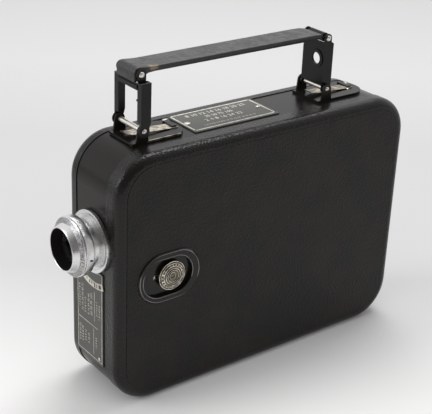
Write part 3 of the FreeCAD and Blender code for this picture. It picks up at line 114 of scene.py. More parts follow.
LEATHER = make_material("leather_black", (0.010, 0.009, 0.008), 0.48, ior=1.31)
add_bump(LEATHER, "cells", 950.0, 0.8, 0.00030)
vary(LEATHER, "Base Color", (0.0085, 0.0078, 0.0072), (0.014, 0.0112, 0.0092), 70.0)
GRIP = make_material("leather_grip", (0.016, 0.0155, 0.015), 0.36, ior=1.46)
add_bump(GRIP, "cells", 1300.0, 0.65, 0.00022)
vary(GRIP, "Roughness", 0.30, 0.46, 260.0)
RIM = make_material("rim_enamel", (0.0085, 0.0077, 0.007), 0.24, ior=1.33)
add_bump(RIM, "cells", 1100.0, 0.6, 0.00022)
ENAMEL = make_material("enamel_black", (0.010, 0.0085, 0.0075), 0.24, ior=1.28)
add_bump(ENAMEL, "noise", 260.0, 0.06, 0.0002)
PRESSED = make_material("pressed_black", (0.004, 0.004, 0.0045), 0.25, ior=1.3)
add_bump(PRESSED, "noise", 420.0, 0.08, 0.0001)
GLOSS = make_material("gloss_black", (0.007, 0.006, 0.0055), 0.13, ior=1.32)
vary(GLOSS, "Roughness", 0.10, 0.22, 400.0)
ETCHED = make_material("etched_black", (0.050, 0.048, 0.043), 0.42)
add_bump(ETCHED, "noise", 900.0, 0.10, 0.00005)
LENS = make_material("lens_aluminium", (0.68, 0.68, 0.68), 0.27, metal=1.0)
add_bump(LENS, "noise", 300.0, 0.02, 0.00003, stretch=(1.0, 14.0, 1.0))
vary(LENS, "Roughness", 0.25, 0.31, 240.0)
# Duller speckled copy of the lens metal for the hood's flare, darkened as a painted dark reflection
LENS_DULL_DARK_REFLECTION = make_material("lens_dull_painted_reflection", (0.34, 0.32, 0.36), 0.34, metal=1.0)
vary(LENS_DULL_DARK_REFLECTION, "Base Color", (0.46, 0.455, 0.46), (0.19, 0.185, 0.20), 1300.0, start=0.38, end=0.60)
NICKEL = make_material("nickel_polished", (0.62, 0.59, 0.53), 0.18, metal=1.0)
vary(NICKEL, "Roughness", 0.16, 0.34, 700.0)
SPRING = make_material("spring_nickel", (0.60, 0.56, 0.47), 0.30, metal=1.0)
vary(SPRING, "Roughness", 0.24, 0.42, 300.0)
SPRING_FRONT = make_material("spring_front", (0.60, 0.56, 0.47), 0.30, metal=1.0)
vary(SPRING_FRONT, "Base Color", (0.62, 0.57, 0.47), (0.16, 0.125, 0.085), 420.0, start=0.42, end=0.64)
SPRING_REAR = make_material("spring_rear", (0.36, 0.32, 0.25), 0.32, metal=1.0)
vary(SPRING_REAR, "Base Color", (0.46, 0.42, 0.34), (0.12, 0.095, 0.065), 420.0, start=0.36, end=0.60)
# Lighter metal for the strips on the finder frame's shoulders, a painted highlight along their top edges
SHOULDER_HIGHLIGHT = make_material("shoulder_painted_highlight", (0.30, 0.28, 0.25), 0.30, metal=1.0)
vary(SHOULDER_HIGHLIGHT, "Base Color", (0.40, 0.37, 0.33), (0.14, 0.13, 0.11), 700.0)
# Cream metal broken by brown for the strip along the foot's near edge, a painted highlight
EDGE_HIGHLIGHT = make_material("edge_painted_highlight", (0.50, 0.47, 0.40), 0.35, metal=1.0)
vary(EDGE_HIGHLIGHT, "Base Color", (0.52, 0.48, 0.39), (0.10, 0.08, 0.055), 260.0)
PIN = make_material("pin_nickel", (0.68, 0.65, 0.60), 0.36, metal=1.0)
vary(PIN, "Roughness", 0.28, 0.44, 900.0)
KNOB = make_material("nickel_worn", (0.50, 0.47, 0.39), 0.27, metal=1.0)
vary(KNOB, "Base Color", (0.17, 0.145, 0.11), (0.05, 0.04, 0.03), 620.0)
RIDGE_METAL = make_material("knob_ridges", (0.66, 0.63, 0.55), 0.22, metal=1.0)
vary(RIDGE_METAL, "Base Color", (0.74, 0.72, 0.66), (0.30, 0.26, 0.19), 500.0)
BEAD = make_material("bead_black", (0.17, 0.165, 0.16), 0.18, metal=1.0)
vary(BEAD, "Roughness", 0.12, 0.30, 400.0)
STEEL = make_material("steel_satin", (0.55, 0.55, 0.56), 0.35, metal=1.0)
add_bump(STEEL, "noise", 500.0, 0.08, 0.00004, stretch=(1.0, 9.0, 1.0))
PLATE = make_material("plate_aluminium", (0.60, 0.60, 0.60), 0.40, metal=1.0)
add_bump(PLATE, "noise", 240.0, 0.08, 0.00005, stretch=(1.0, 1.0, 12.0))
GEARS = make_material("brass_wheels", (0.68, 0.50, 0.24), 0.30, metal=1.0)
vary(GEARS, "Roughness", 0.24, 0.42, 300.0)
SPOOL = make_material("spool_black", (0.025, 0.025, 0.028), 0.32)
add_bump(SPOOL, "noise", 500.0, 0.06, 0.00005)
GLASS = make_material("lens_glass", (0.30, 0.31, 0.32), 0.03, transmission=1.0, ior=1.12)
vary(GLASS, "Roughness", 0.02, 0.05, 300.0)
DIAL = make_material("dial_white", (0.74, 0.73, 0.68), 0.5)
vary(DIAL, "Base Color", (0.76, 0.75, 0.70), (0.68, 0.66, 0.60), 300.0)
CHAMBER = make_material("chamber_black", (0.012, 0.012, 0.012), 0.7)
add_bump(CHAMBER, "noise", 700.0, 0.12, 0.00005)
CREAM = make_material("etched_cream", (0.55, 0.52, 0.45), 0.45)
vary(CREAM, "Base Color", (0.62, 0.59, 0.52), (0.36, 0.33, 0.28), 500.0)
CREAM_TOP = make_material("etched_cream_top", (0.85, 0.83, 0.75), 0.45)
vary(CREAM_TOP, "Base Color", (0.88, 0.87, 0.79), (0.60, 0.57, 0.49), 500.0)
ETCHED_TOP = make_material("etched_olive", (0.070, 0.070, 0.060), 0.42)
add_bump(ETCHED_TOP, "noise", 900.0, 0.10, 0.00005)
BORE = make_material("bore_black", (0.007, 0.0062, 0.006), 0.8, ior=1.1)
add_bump(BORE, "noise", 400.0, 0.10, 0.00005)
# Black for printed marks, and for the bars in screw slots, where it is painted shade of the groove
PRINT_AND_SLOT_SHADE = make_material("print_black_and_slot_shade", (0.015, 0.015, 0.015), 0.5)
add_bump(PRINT_AND_SLOT_SHADE, "noise", 900.0, 0.10, 0.00003)
SLOTS = {
    "leather": LEATHER, "enamel": ENAMEL, "etched": ETCHED, "lens_metal": LENS, "nickel": NICKEL,
    "knob": KNOB, "steel": STEEL, "plate": PLATE, "gears": GEARS, "spool": SPOOL, "glass": GLASS,
    "dial": DIAL, "chamber": CHAMBER}
OWN = {
    "film_door": RIM, "motor_cover": RIM, "front_post": PRESSED, "rear_post": PRESSED,
    "latch_bezel": GLOSS, "front_leaf_spring": SPRING_FRONT, "rear_leaf_spring": SPRING_REAR,
    "handle_strap": PRESSED, "name_plate": ETCHED_TOP}
for part in frame["record"]["subparts"]:
    node = nodes[part["node"]]
    node.data.materials.clear()
    node.data.materials.append(OWN.get(part["node"], SLOTS[part["material_slot"]]))


def wear(material, place, reach, color, scale):
    """Lets a worn colour show round one point, broken up by noise."""
    tree = material.node_tree
    shader = tree.nodes["Principled BSDF"]
    coord = tree.nodes.new("ShaderNodeTexCoord")
    mapping = tree.nodes.new("ShaderNodeMapping")
    mapping.inputs["Location"].default_value = [-c / reach for c in place]
    mapping.inputs["Scale"].default_value = (1000 / reach,) * 3
    ball = tree.nodes.new("ShaderNodeTexGradient")
    ball.gradient_type = "SPHERICAL"
    noise = tree.nodes.new("ShaderNodeTexNoise")
    noise.inputs["Scale"].default_value = scale
    noise.inputs["Detail"].default_value = WEAR_DETAIL
    product = tree.nodes.new("ShaderNodeMath")
    product.operation = "MULTIPLY"
    ramp = tree.nodes.new("ShaderNodeValToRGB")
    ramp.color_ramp.elements[0].position = 0.24
    ramp.color_ramp.elements[1].position = 0.38
    mix = tree.nodes.new("ShaderNodeMixRGB")
    base = shader.inputs["Base Color"]
    mix.inputs["Color1"].default_value = tuple(base.default_value)
    if base.is_linked:
        tree.links.new(base.links[0].from_socket, mix.inputs["Color1"])
    mix.inputs["Color2"].default_value = (*color, 1.0)
    tree.links.new(coord.outputs["Object"], mapping.inputs["Vector"])
    tree.links.new(mapping.outputs["Vector"], ball.inputs["Vector"])
    tree.links.new(coord.outputs["Object"], noise.inputs["Vector"])
    tree.links.new(ball.outputs["Fac"], product.inputs[0])
    tree.links.new(noise.outputs["Fac"], product.inputs[1])
    tree.links.new(product.outputs["Value"], ramp.inputs["Fac"])
    tree.links.new(ramp.outputs["Color"], mix.inputs["Fac"])
    tree.links.new(mix.outputs["Color"], base)


def add_mesh(name, points, faces, material, body, smooth=False):
    """A mesh piece given in millimetres that rides on one body."""
    mesh = bpy.data.meshes.new(name)
    mesh.from_pydata([tuple(c * MM for c in p) for p in points], [], faces)
    mesh.materials.append(material)
    if smooth:
        for polygon in mesh.polygons:
            polygon.use_smooth = True
    mesh.validate()
    piece = bpy.data.objects.new(name, mesh)
    bpy.context.scene.collection.objects.link(piece)
    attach(piece, body)
    return piece


def outward(piece):
    """Turns every face outward."""
    bm = bmesh.new()
    bm.from_mesh(piece.data)
    bmesh.ops.recalc_face_normals(bm, faces=bm.faces)
    bm.to_mesh(piece.data)
    bm.free()


def add_bevel(piece, width, segments=2, angle=30.0):
    """Rounds the edges that are sharper than the angle."""
    bevel = piece.modifiers.new("edges", "BEVEL")
    bevel.width = width * MM
    bevel.segments = segments
    bevel.limit_method = "ANGLE"
    bevel.angle_limit = math.radians(angle)


def shade_by_angle(piece, degrees):
    """Smooth shading that keeps edges sharper than the angle."""
    mesh = piece.data
    for polygon in mesh.polygons:
        polygon.use_smooth = True
    mesh.set_sharp_from_angle(angle=math.radians(degrees))


def turned(name, profile, centre, axis, material, body, count=144, depth=0.0, rib_span=None):
    """Closed profile of (along, radius) turned about an axis, with every other column of a span lower."""
    points = []
    size = len(profile)
    for k in range(count):
        angle = 2 * math.pi * k / count
        for index, (along, radius) in enumerate(profile):
            if rib_span and rib_span[0] <= index <= rib_span[1] and k % 2:
                radius -= depth
            a = radius * math.cos(angle)
            b = radius * math.sin(angle)
            if axis == "Y":
                points.append((centre[0] + a, along, centre[2] + b))
            else:
                points.append((along, centre[1] + a, centre[2] + b))
    faces = []
    for k in range(count):
        near = k * size
        far = (k + 1) % count * size
        for index in range(size):
            after = (index + 1) % size
            faces.append((near + index, near + after, far + after, far + index))
    piece = add_mesh(name, points, faces, material, body)
    outward(piece)
    return piece


def add_box(name, low, high, material, body):
    """A small strip or bar between two corners."""
    a, b, c = low
    d, e, f = high
    points = [(a, b, c), (d, b, c), (d, e, c), (a, e, c), (a, b, f), (d, b, f), (d, e, f), (a, e, f)]
    faces = [(3, 2, 1, 0), (4, 5, 6, 7), (0, 1, 5, 4), (1, 2, 6, 5), (2, 3, 7, 6), (3, 0, 4, 7)]
    return add_mesh(name, points, faces, material, body)


def add_number(name, words, size, place, across, upward, material, body):
    """Plain figures as thin raised shapes; across is the reading direction."""
    curve = bpy.data.curves.new(name, "FONT")
    curve.body = words
    curve.size = size * MM
    curve.align_x = "CENTER"
    curve.align_y = "CENTER"
    curve.extrude = FIGURE_DEPTH * MM
    curve.resolution_u = 2
    text = bpy.data.objects.new(name + "_curve", curve)
    bpy.context.scene.collection.objects.link(text)
    bpy.context.view_layer.update()
    mesh = bpy.data.meshes.new_from_object(text)
    bpy.data.objects.remove(text)
    across = Vector(across)
    upward = Vector(upward)
    turn = Matrix((across, upward, across.cross(upward))).transposed()
    mesh.transform(Matrix.Translation(Vector(place) * MM) @ turn.to_4x4())
    mesh.materials.clear()
    mesh.materials.append(material)
    piece = bpy.data.objects.new(name, mesh)
    bpy.context.scene.collection.objects.link(piece)
    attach(piece, body)
    return piece


def add_rivet(name, place, radius, height, material, body, slot=0.0, turn=0.0, axis="Z"):
    """Domed head standing up along Z or out along -Y, with a screw slot when asked, drawn as a black bar of
    painted shade.
    """
    profile = [(0.0, 1.0), (0.35, 0.97), (0.7, 0.8), (0.92, 0.5), (1.0, 0.0)]
    points = []
    faces = []
    count = 24
    for rise, share in profile[:-1]:
        for k in range(count):
            angle = 2 * math.pi * k / count
            x = place[0] + radius * share * math.cos(angle)
            y = place[1] + radius * share * math.sin(angle)
            points.append((x, y, place[2] + rise * height))
    points.append((place[0], place[1], place[2] + height))
    top = len(points) - 1
    for level in range(3):
        for k in range(count):
            after = (k + 1) % count
            near = level * count
            far = near + count
            faces.append((near + k, near + after, far + after, far + k))
    for k in range(count):
        faces.append((3 * count + k, 3 * count + (k + 1) % count, top))
    faces.append(tuple(reversed(range(count))))
    if axis == "Y":
        points = [(x, place[1] - (z - place[2]), place[2] + (y - place[1])) for x, y, z in points]
    piece = add_mesh(name, points, faces, material, body, smooth=True)
    outward(piece)
    if slot:
        reach = radius * 0.9
        bar = add_box(name + "_slot", (-reach, -slot / 2, height * 0.55), (reach, slot / 2, height * 1.04),
                      PRINT_AND_SLOT_SHADE, body)
        bar.data.transform(Matrix.Translation(Vector(place) * MM) @ Matrix.Rotation(turn, 4, "Z"))


def span(node):
    """Lowest and highest corner of a node in millimetres."""
    low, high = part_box(node)
    return [c / MM for c in low], [c / MM for c in high]


def joint_place(name):
    """Where a joint's axis passes, in millimetres."""
    return [c / MM for c in next(j for j in frame["joints"] if j["name"] == name)["pos_m"]]


def centre_of(node):
    """Middle of a node's box in millimetres."""
    low, high = span(node)
    return [(a + b) / 2 for a, b in zip(low, high)]


def half_of(node):
    """Half the size of a node's box in millimetres."""
    low, high = span(node)
    return [(b - a) / 2 for a, b in zip(low, high)]


# Lens: the hood, its lining and its flare, in steps back from the hood's front edge
hood_low, hood_high = span("lens_hood")
LENS_CENTRE = (centre_of("lens_hood")[0], 0, centre_of("lens_hood")[2])
RIDGE = half_of("lens_hood")[0]
MOUTH = 9.3
GROOVE = 12.9
SPIGOT = 11.2
WAIST = 11.0
BARREL_BORE = 7.6
NECK = 9.8
TAIL = 8.8
LENS_ANGLE = 24


def lens_place(clockwise, radius, y):
    """A point about the lens axis, turned clockwise from the top."""
    turn = math.radians(clockwise)
    return (LENS_CENTRE[0] + radius * math.sin(turn), y, LENS_CENTRE[2] + radius * math.cos(turn))


def decal(name, points, faces, material, body, lift=0.05):
    """A thin printed or engraved mark."""
    piece = add_mesh(name, points, faces, material, body)
    solid = piece.modifiers.new("thick", "SOLIDIFY")
    solid.thickness = lift * MM


def lens_piece(name, profile, material, slot, node=None, body="case", **shape):
    """A turned piece of the lens, which may stand in for a node."""
    piece = turned(name, profile, LENS_CENTRE, "Y", material, body, **shape)
    shade_by_angle(piece, LENS_ANGLE)
    if node:
        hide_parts(node)


front = hood_low[1]
back = hood_high[1]
lens_piece("hood_turned", [
    (front + 0.15, MOUTH), (front, 9.5), (front + 0.02, 9.65), (front + 0.2, 9.85), (front + 0.5, 9.95),
    (front + 1.4, 10.25), (front + 2.3, 10.7), (front + 2.7, 10.85), (front + 2.85, 10.95),
    (front + 4.05, 13.05), (front + 4.15, 13.22), (front + 4.25, RIDGE), (front + 4.38, RIDGE),
    (front + 4.42, 13.15), (front + 4.42, GROOVE), (back + 0.26, GROOVE), (back + 0.26, SPIGOT),
    (back, SPIGOT), (back, MOUTH)], LENS, "lens_metal", "lens_hood")
lens_piece("hood_lining", [
    (front + 0.16, MOUTH), (front + 0.16, MOUTH - 0.12), (front + 0.7, MOUTH - 0.45), (back, 7.0),
    (back, MOUTH)], BORE, "chamber")
# Flare ring over the hood, a duller speckled finish darkened by painted reflection
lens_piece("hood_flare", [
    (front + 2.84, 10.9), (front + 2.80, 10.98), (front + 4.0, 13.06), (front + 4.08, 12.98)],
    LENS_DULL_DARK_REFLECTION, "lens_metal")

# Knurled ring and its index dot
ring_low, ring_high = span("diaphragm_ring")
front = ring_low[1]
back = ring_high[1]
outer = half_of("diaphragm_ring")[0]
lens_piece("knurled_ring", [
    (front, WAIST + 0.05), (front, outer - 0.5), (front + 0.15, outer - 0.2), (front + 0.4, outer),
    (back - 1.2, outer), (back - 0.5, outer - 0.25), (back - 0.1, outer - 0.6), (back, outer - 0.8),
    (back, WAIST + 0.05)], LENS, "lens_metal", "diaphragm_ring", "diaphragm", count=360, depth=0.06,
    rib_span=(3, 4))
DOT_TURN = 96.5
DOT_HALF_TURN = 2.1
DOT_RADIUS = 0.75
DOT_SIDES = 20
dot_y = (front + back) / 2
dot_points = [lens_place(DOT_TURN, outer + 0.03, dot_y)]
for k in range(DOT_SIDES):
    turn = 2 * math.pi * k / DOT_SIDES
    clockwise = DOT_TURN + DOT_HALF_TURN * math.sin(turn)
    dot_points.append(lens_place(clockwise, outer + 0.03, dot_y + DOT_RADIUS * math.cos(turn)))
dot_faces = [(0, k + 1, (k + 1) % DOT_SIDES + 1) for k in range(DOT_SIDES)]
decal("ring_index", dot_points, dot_faces, PRINT_AND_SLOT_SHADE, "diaphragm")

# Barrel with its collar, and the flange on the case
barrel_front = span("lens_barrel")[0][1]
flange_low, flange_high = span("lens_flange")
face = flange_low[1]
neck_end = flange_high[1]
seat = span("case_band")[0][1]
lens_piece("barrel_turned", [
    (barrel_front, BARREL_BORE), (barrel_front, WAIST), (back + 0.3, WAIST), (back + 0.32, 11.5),
    (back + 0.5, 11.75), (back + 0.95, 11.75), (back + 1.1, 11.6), (back + 1.12, WAIST), (face, WAIST),
    (face, TAIL), (neck_end, TAIL), (neck_end, BARREL_BORE)], LENS, "lens_metal", "lens_barrel")
outer = half_of("lens_flange")[0]
lens_piece("flange_turned", [
    (face, TAIL), (face, 12.3), (face + 0.18, 12.42), (face + 0.18, 12.62), (face, 12.75),
    (face, outer - 0.45), (face + 0.12, outer - 0.15), (face + 0.4, outer), (face + 1.3, outer),
    (face + 1.5, outer - 0.2), (face + 1.6, outer - 0.3), (seat - 0.4, outer - 0.3), (seat - 0.4, NECK),
    (neck_end, NECK), (neck_end, TAIL)], LENS, "lens_metal", "lens_flange")

# Engraved ticks on the flare of the hood
TICK_COUNT = 12
TICK_FIRST = 96
TICK_STEP = 8
TICK_LONG = 1.15
TICK_SHORT = 0.8
TICK_RADIUS = 13.17
FLARE_SLOPE = 1.75
tick_points = []
tick_faces = []
for index in range(TICK_COUNT):
    clockwise = TICK_FIRST + index * TICK_STEP
    tall = TICK_SHORT if index % 2 else TICK_LONG
    for side in (-1.0, 1.0):
        for along in (0.0, tall):
            y = hood_high[1] - 0.55 - along
            tick_points.append(lens_place(clockwise + side, TICK_RADIUS - along * FLARE_SLOPE, y))
    start = index * 4
    tick_faces.append((start, start + 1, start + 3, start + 2))
decal("hood_ticks", tick_points, tick_faces, CREAM, "case")

# Front plate: border, table lines, scale and plain figures
front_low, front_high = span("front_plate")
FRONT = front_low[1]
LEFT = front_low[0] + 0.35
RIGHT = front_high[0] - 0.6
FOOT = 18.0
HEAD = front_high[2] - 0.6
DIVIDE = 33.9
WINDOW_FOOT = 59.0
LINE = 0.32
FRONT_LINES = (
    ("left", LEFT, LEFT + LINE, FOOT, HEAD),
    ("right", RIGHT - LINE, RIGHT, FOOT, WINDOW_FOOT),
    ("low", LEFT, RIGHT, FOOT - LINE, FOOT),
    ("divide", LEFT + 0.7, 4.0, DIVIDE, DIVIDE + LINE),
    ("high", 1.35, 1.6, 36.9, 51.8),
    ("under", 0.55, 0.8, 19.5, 32.8))
FRONT_FIGURES = (
    ("1 2 3 4 5 6 7 8 9", 1.7, -10.9, 45.0),
    ("16 16 24 24 32 32", 1.9, -8.5, 45.0),
    ("2 4 8 11 16", 1.7, -6.2, 42.0),
    ("8 16 24 32 48", 1.9, -3.4, 43.5),
    ("25 50 75 100", 2.1, -1.0, 44.5),
    ("2 3 4 5 6 7", 1.7, 3.4, 44.0),
    ("1 2 3 4 5 6", 1.7, 5.6, 43.0),
    ("4 6 8 10 12", 1.9, -10.6, 26.0),
    ("2 4 6 8 10", 1.9, -8.5, 26.0),
    ("3 6 9 12", 1.7, -6.0, 26.2),
    ("5 10 15", 1.7, -3.2, 26.0),
    ("1 2 3 4 5", 1.7, 2.9, 26.2))
for name, x0, x1, z0, z1 in FRONT_LINES:
    add_box("front_line_" + name, (x0, FRONT - 0.03, z0), (x1, FRONT + 0.05, z1), CREAM, "case")
for index, (words, size, x, z) in enumerate(FRONT_FIGURES):
    add_number("front_figures_%d" % index, words, size, (x, FRONT, z), (0, 0, 1), (-1, 0, 0), CREAM, "case")


def arc_band(name, inner, outer, start_turn, end_turn, material, y, steps):
    """A band about the lens axis, between two turns."""
    points = []
    faces = []
    for index in range(steps + 1):
        clockwise = start_turn + (end_turn - start_turn) * index / steps
        points += [lens_place(clockwise, inner, y), lens_place(clockwise, outer, y)]
    for index in range(steps):
        first = index * 2
        faces.append((first, first + 1, first + 3, first + 2))
    decal(name, points, faces, material, "case")


SCALE_INNER = 19.6
SCALE_OUTER = 22.7
SCALE_START = 158.0
SCALE_END = 201.0
SCALE_MARKS = (
    (164.5, 5.2, 20.3, 22.0),
    (171.5, 1.3, 20.3, 22.0),
    (176.5, 2.2, 20.1, 22.2),
    (183.0, 1.0, 20.4, 21.4),
    (188.0, 1.6, 20.4, 22.0),
    (194.0, 1.0, 20.4, 21.4))
arc_band("front_scale", SCALE_INNER, SCALE_OUTER, SCALE_START, SCALE_END, CREAM, FRONT - 0.03, 28)
for index, (turn, wide, low, high) in enumerate(SCALE_MARKS):
    start = turn - wide / 2
    end = turn + wide / 2
    arc_band("front_scale_mark_%d" % index, low, high, start, end, PRINT_AND_SLOT_SHADE, FRONT - 0.09, 6)

# Border line round the scale's window, and the rivet of the front plate
WINDOW_LINE = 0.3
WINDOW_PATH = (
    (1.2, 61.35), (3.2, 61.75), (5.2, 62.3), (6.6, 62.45), (7.3, 62.2), (7.75, 61.5), (7.8, 60.4),
    (7.8, WINDOW_FOOT))
line_points = []
line_faces = []
for index, (x, z) in enumerate(WINDOW_PATH):
    before = WINDOW_PATH[max(index - 1, 0)]
    after = WINDOW_PATH[min(index + 1, len(WINDOW_PATH) - 1)]
    along = Vector((after[0] - before[0], after[1] - before[1])).normalized() * WINDOW_LINE / 2
    line_points.append((x - along[1], FRONT - 0.04, z + along[0]))
    line_points.append((x + along[1], FRONT - 0.04, z - along[0]))
for index in range(len(WINDOW_PATH) - 1):
    start = index * 2
    line_faces.append((start, start + 1, start + 3, start + 2))
decal("front_window_line", line_points, line_faces, CREAM, "case")
add_rivet("front_rivet", (5.6, FRONT, 19.4), 0.85, 0.35, NICKEL, "case", axis="Y")

# Top plate: border, plain figures and rivets
name_low, name_high = span("name_plate")
TOP = name_high[2]
FAR = name_low[0] + 0.15
NEAR = name_high[0] - 1.3
NAME_FRONT = name_low[1] + 0.8
NAME_REAR = name_high[1] - 0.9
WIDE_LINE = 0.7
NAME_LINES = (
    ("far", FAR, FAR + WIDE_LINE, NAME_FRONT, NAME_REAR),
    ("near", NEAR - WIDE_LINE, NEAR, NAME_FRONT, NAME_REAR),
    ("front", FAR, NEAR, NAME_FRONT, NAME_FRONT + WIDE_LINE),
    ("rear", FAR, NEAR, NAME_REAR - WIDE_LINE, NAME_REAR))
NAME_FIGURES = (
    ("8 10 12 14 16 18 20 22", 3.5, -8.9, -12.0),
    ("25 50 75 100", 2.9, -4.9, -13.0),
    ("2 4 8 16 24 32", 3.5, -0.9, -13.0),
    ("1 2 3 4 5 6 7 8 9 10 11 12 13 14 15 16 17", 1.7, 3.7, -13.0))
for name, x0, x1, y0, y1 in NAME_LINES:
    add_box("name_line_" + name, (x0, y0, TOP - 0.05), (x1, y1, TOP + 0.03), CREAM_TOP, "case")
for index, (words, size, x, y) in enumerate(NAME_FIGURES):
    add_number("name_figures_%d" % index, words, size, (x, y, TOP), (0, 1, 0), (-1, 0, 0), CREAM_TOP, "case")
add_rivet("name_rivet_front", (-1.8, NAME_FRONT + 2.0, TOP), 1.6, 0.5, SPRING, "case")
add_rivet("name_rivet_rear", (-2.8, NAME_REAR - 2.6, TOP), 1.1, 0.45, SPRING, "case")

# Screws and rivet of the handle's feet
foot_low, foot_high = span("front_bracket")
foot_end = foot_high[1]
rear_foot_end = span("rear_bracket")[1][1]
FOOT_TOP = span("front_leaf_spring")[0][2] - 0.01
SLOT_WIDTH = 0.35
add_rivet("bracket_screw_front", (-8.6, foot_end - 1.7, FOOT_TOP), 1.65, 0.7, PIN, "case",
          slot=SLOT_WIDTH, turn=0.6)
add_rivet("bracket_screw_rear", (-5.6, rear_foot_end - 2.6, FOOT_TOP), 1.5, 0.7, NICKEL, "case",
          slot=SLOT_WIDTH, turn=0.9)
add_rivet("bracket_rivet_rear", (1.6, rear_foot_end - 7.4, FOOT_TOP), 0.7, 0.4, NICKEL, "case")

# Black blocks over the tails of the spring strips, painted shade of the slots they run into
for end in ("front", "rear"):
    low, high = span(end + "_leaf_spring")
    add_box(end + "_spring_slot_shade", (low[0] - 2.6, high[1] - 2.4, low[2]),
            (high[0] - 1.0, high[1] + 0.05, low[2] + 0.9), PRESSED, "case")

# Rods and pins of the handle
SHAFT = 0.8
SLEEVE = 1.18
ROD_HEAD = 1.2
PIN_HEAD = 1.35
COLLAR = 1.6
EAR_INNER = 8.35


def domed_rod(node, body, head, thick, thick_half, collar=None):
    """Rod along X with a rounded head on each end, a thicker middle and perhaps two collars."""
    low, high = span(node)
    centre = centre_of(node)
    x = low[0]
    profile = [
        (x, 0.001), (x + 0.06, head * 0.45), (x + 0.18, head * 0.75), (x + 0.36, head * 0.95),
        (x + 0.5, head), (x + 0.5, SHAFT)]
    if collar:
        start, end = collar
        profile += [
            (centre[0] - end, SHAFT), (centre[0] - end, COLLAR), (centre[0] - start, COLLAR),
            (centre[0] - start, SHAFT)]
    profile += [(centre[0] - thick_half, SHAFT), (centre[0] - thick_half, thick)]
    profile += [(2 * centre[0] - along, radius) for along, radius in reversed(profile)]
    piece = turned(node + "_turned", profile, (0, centre[1], centre[2]), "X", PIN, body, count=28)
    shade_by_angle(piece, 40)
    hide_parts(node)


rear_inner = half_of("rear_post")[0]
domed_rod("front_hinge_rod", "case", ROD_HEAD, SLEEVE, 8.1)
domed_rod("rear_hinge_rod", "case", ROD_HEAD, SLEEVE, rear_inner - 1.2, (rear_inner + 0.15, EAR_INNER))
domed_rod("front_top_pin", "finder_frame", PIN_HEAD, SHAFT, 1.0)
domed_rod("rear_top_pin", "finder_eyepiece", PIN_HEAD, SHAFT, 1.0)

# Leather inlays on the door and on the motor cover
case_centre = centre_of("film_door")
case_half = half_of("film_door")
INSET = 4.6
CORNER = 19.0
LEATHER_THICK = 0.22
LEATHER_LIFT = 0.10


def rounded_outline(half_y, half_z, radius, centre_y, centre_z, steps=12):
    """Points round a rectangle with rounded corners."""
    points = []
    for quarter, (sy, sz) in enumerate(((1, 1), (-1, 1), (-1, -1), (1, -1))):
        for k in range(steps + 1):
            angle = quarter * math.pi / 2 + math.pi / 2 * k / steps
            y = centre_y + sy * (half_y - radius) + radius * math.cos(angle)
            z = centre_z + sz * (half_z - radius) + radius * math.sin(angle)
            points.append((y, z))
    return points


def inlay(name, x, holes, body):
    """A flat sheet of leather with rounded corners and holes, standing across X."""
    curve = bpy.data.curves.new(name, "CURVE")
    curve.dimensions = "2D"
    curve.fill_mode = "BOTH"
    curve.extrude = LEATHER_THICK / 2 * MM
    edge = rounded_outline(case_half[1] - INSET, case_half[2] - INSET, CORNER - INSET, 0.0, case_centre[2])
    for outline in [edge] + holes:
        spline = curve.splines.new("POLY")
        spline.points.add(len(outline) - 1)
        for point, (y, z) in zip(spline.points, outline):
            point.co = (y * MM, z * MM, 0.0, 1.0)
        spline.use_cyclic_u = True
    flat = bpy.data.objects.new(name + "_curve", curve)
    bpy.context.scene.collection.objects.link(flat)
    bpy.context.view_layer.update()
    mesh = bpy.data.meshes.new_from_object(flat)
    bpy.data.objects.remove(flat)
    mesh.transform(Matrix(((0, 0, 1, x * MM), (1, 0, 0, 0), (0, 1, 0, 0), (0, 0, 0, 1))))
    mesh.materials.clear()
    mesh.materials.append(LEATHER)
    piece = bpy.data.objects.new(name, mesh)
    bpy.context.scene.collection.objects.link(piece)
    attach(piece, body)
    add_bevel(piece, 0.12, 2, 50.0)


def round_hole(node, margin):
    """Outline of a round hole about a node."""
    centre = centre_of(node)
    radius = half_of(node)[2] + margin
    return rounded_outline(radius, radius, radius, centre[1], centre[2])


bezel = centre_of("latch_bezel")
bezel_half = half_of("latch_bezel")
bezel_radius = bezel_half[2] + 0.1
around_bezel = rounded_outline(bezel_half[1] + 0.1, bezel_radius, bezel_radius, bezel[1], bezel[2])
inlay("door_leather", span("film_door")[1][0] + LEATHER_LIFT, [around_bezel], "door")
SLIDE_TRAVEL = 6.0
slide = centre_of("release_slide")
slide_half = half_of("release_slide")
slide_hole = rounded_outline(slide_half[1] + 0.5, slide_half[2] + SLIDE_TRAVEL / 2 + 0.5, slide_half[1] + 0.5,
                             slide[1], slide[2] - SLIDE_TRAVEL / 2)
inlay("cover_leather", span("motor_cover")[0][0] - LEATHER_LIFT,
      [round_hole("winding_hub", 0.8), round_hole("dial_window", 0.1), slide_hole], "case")

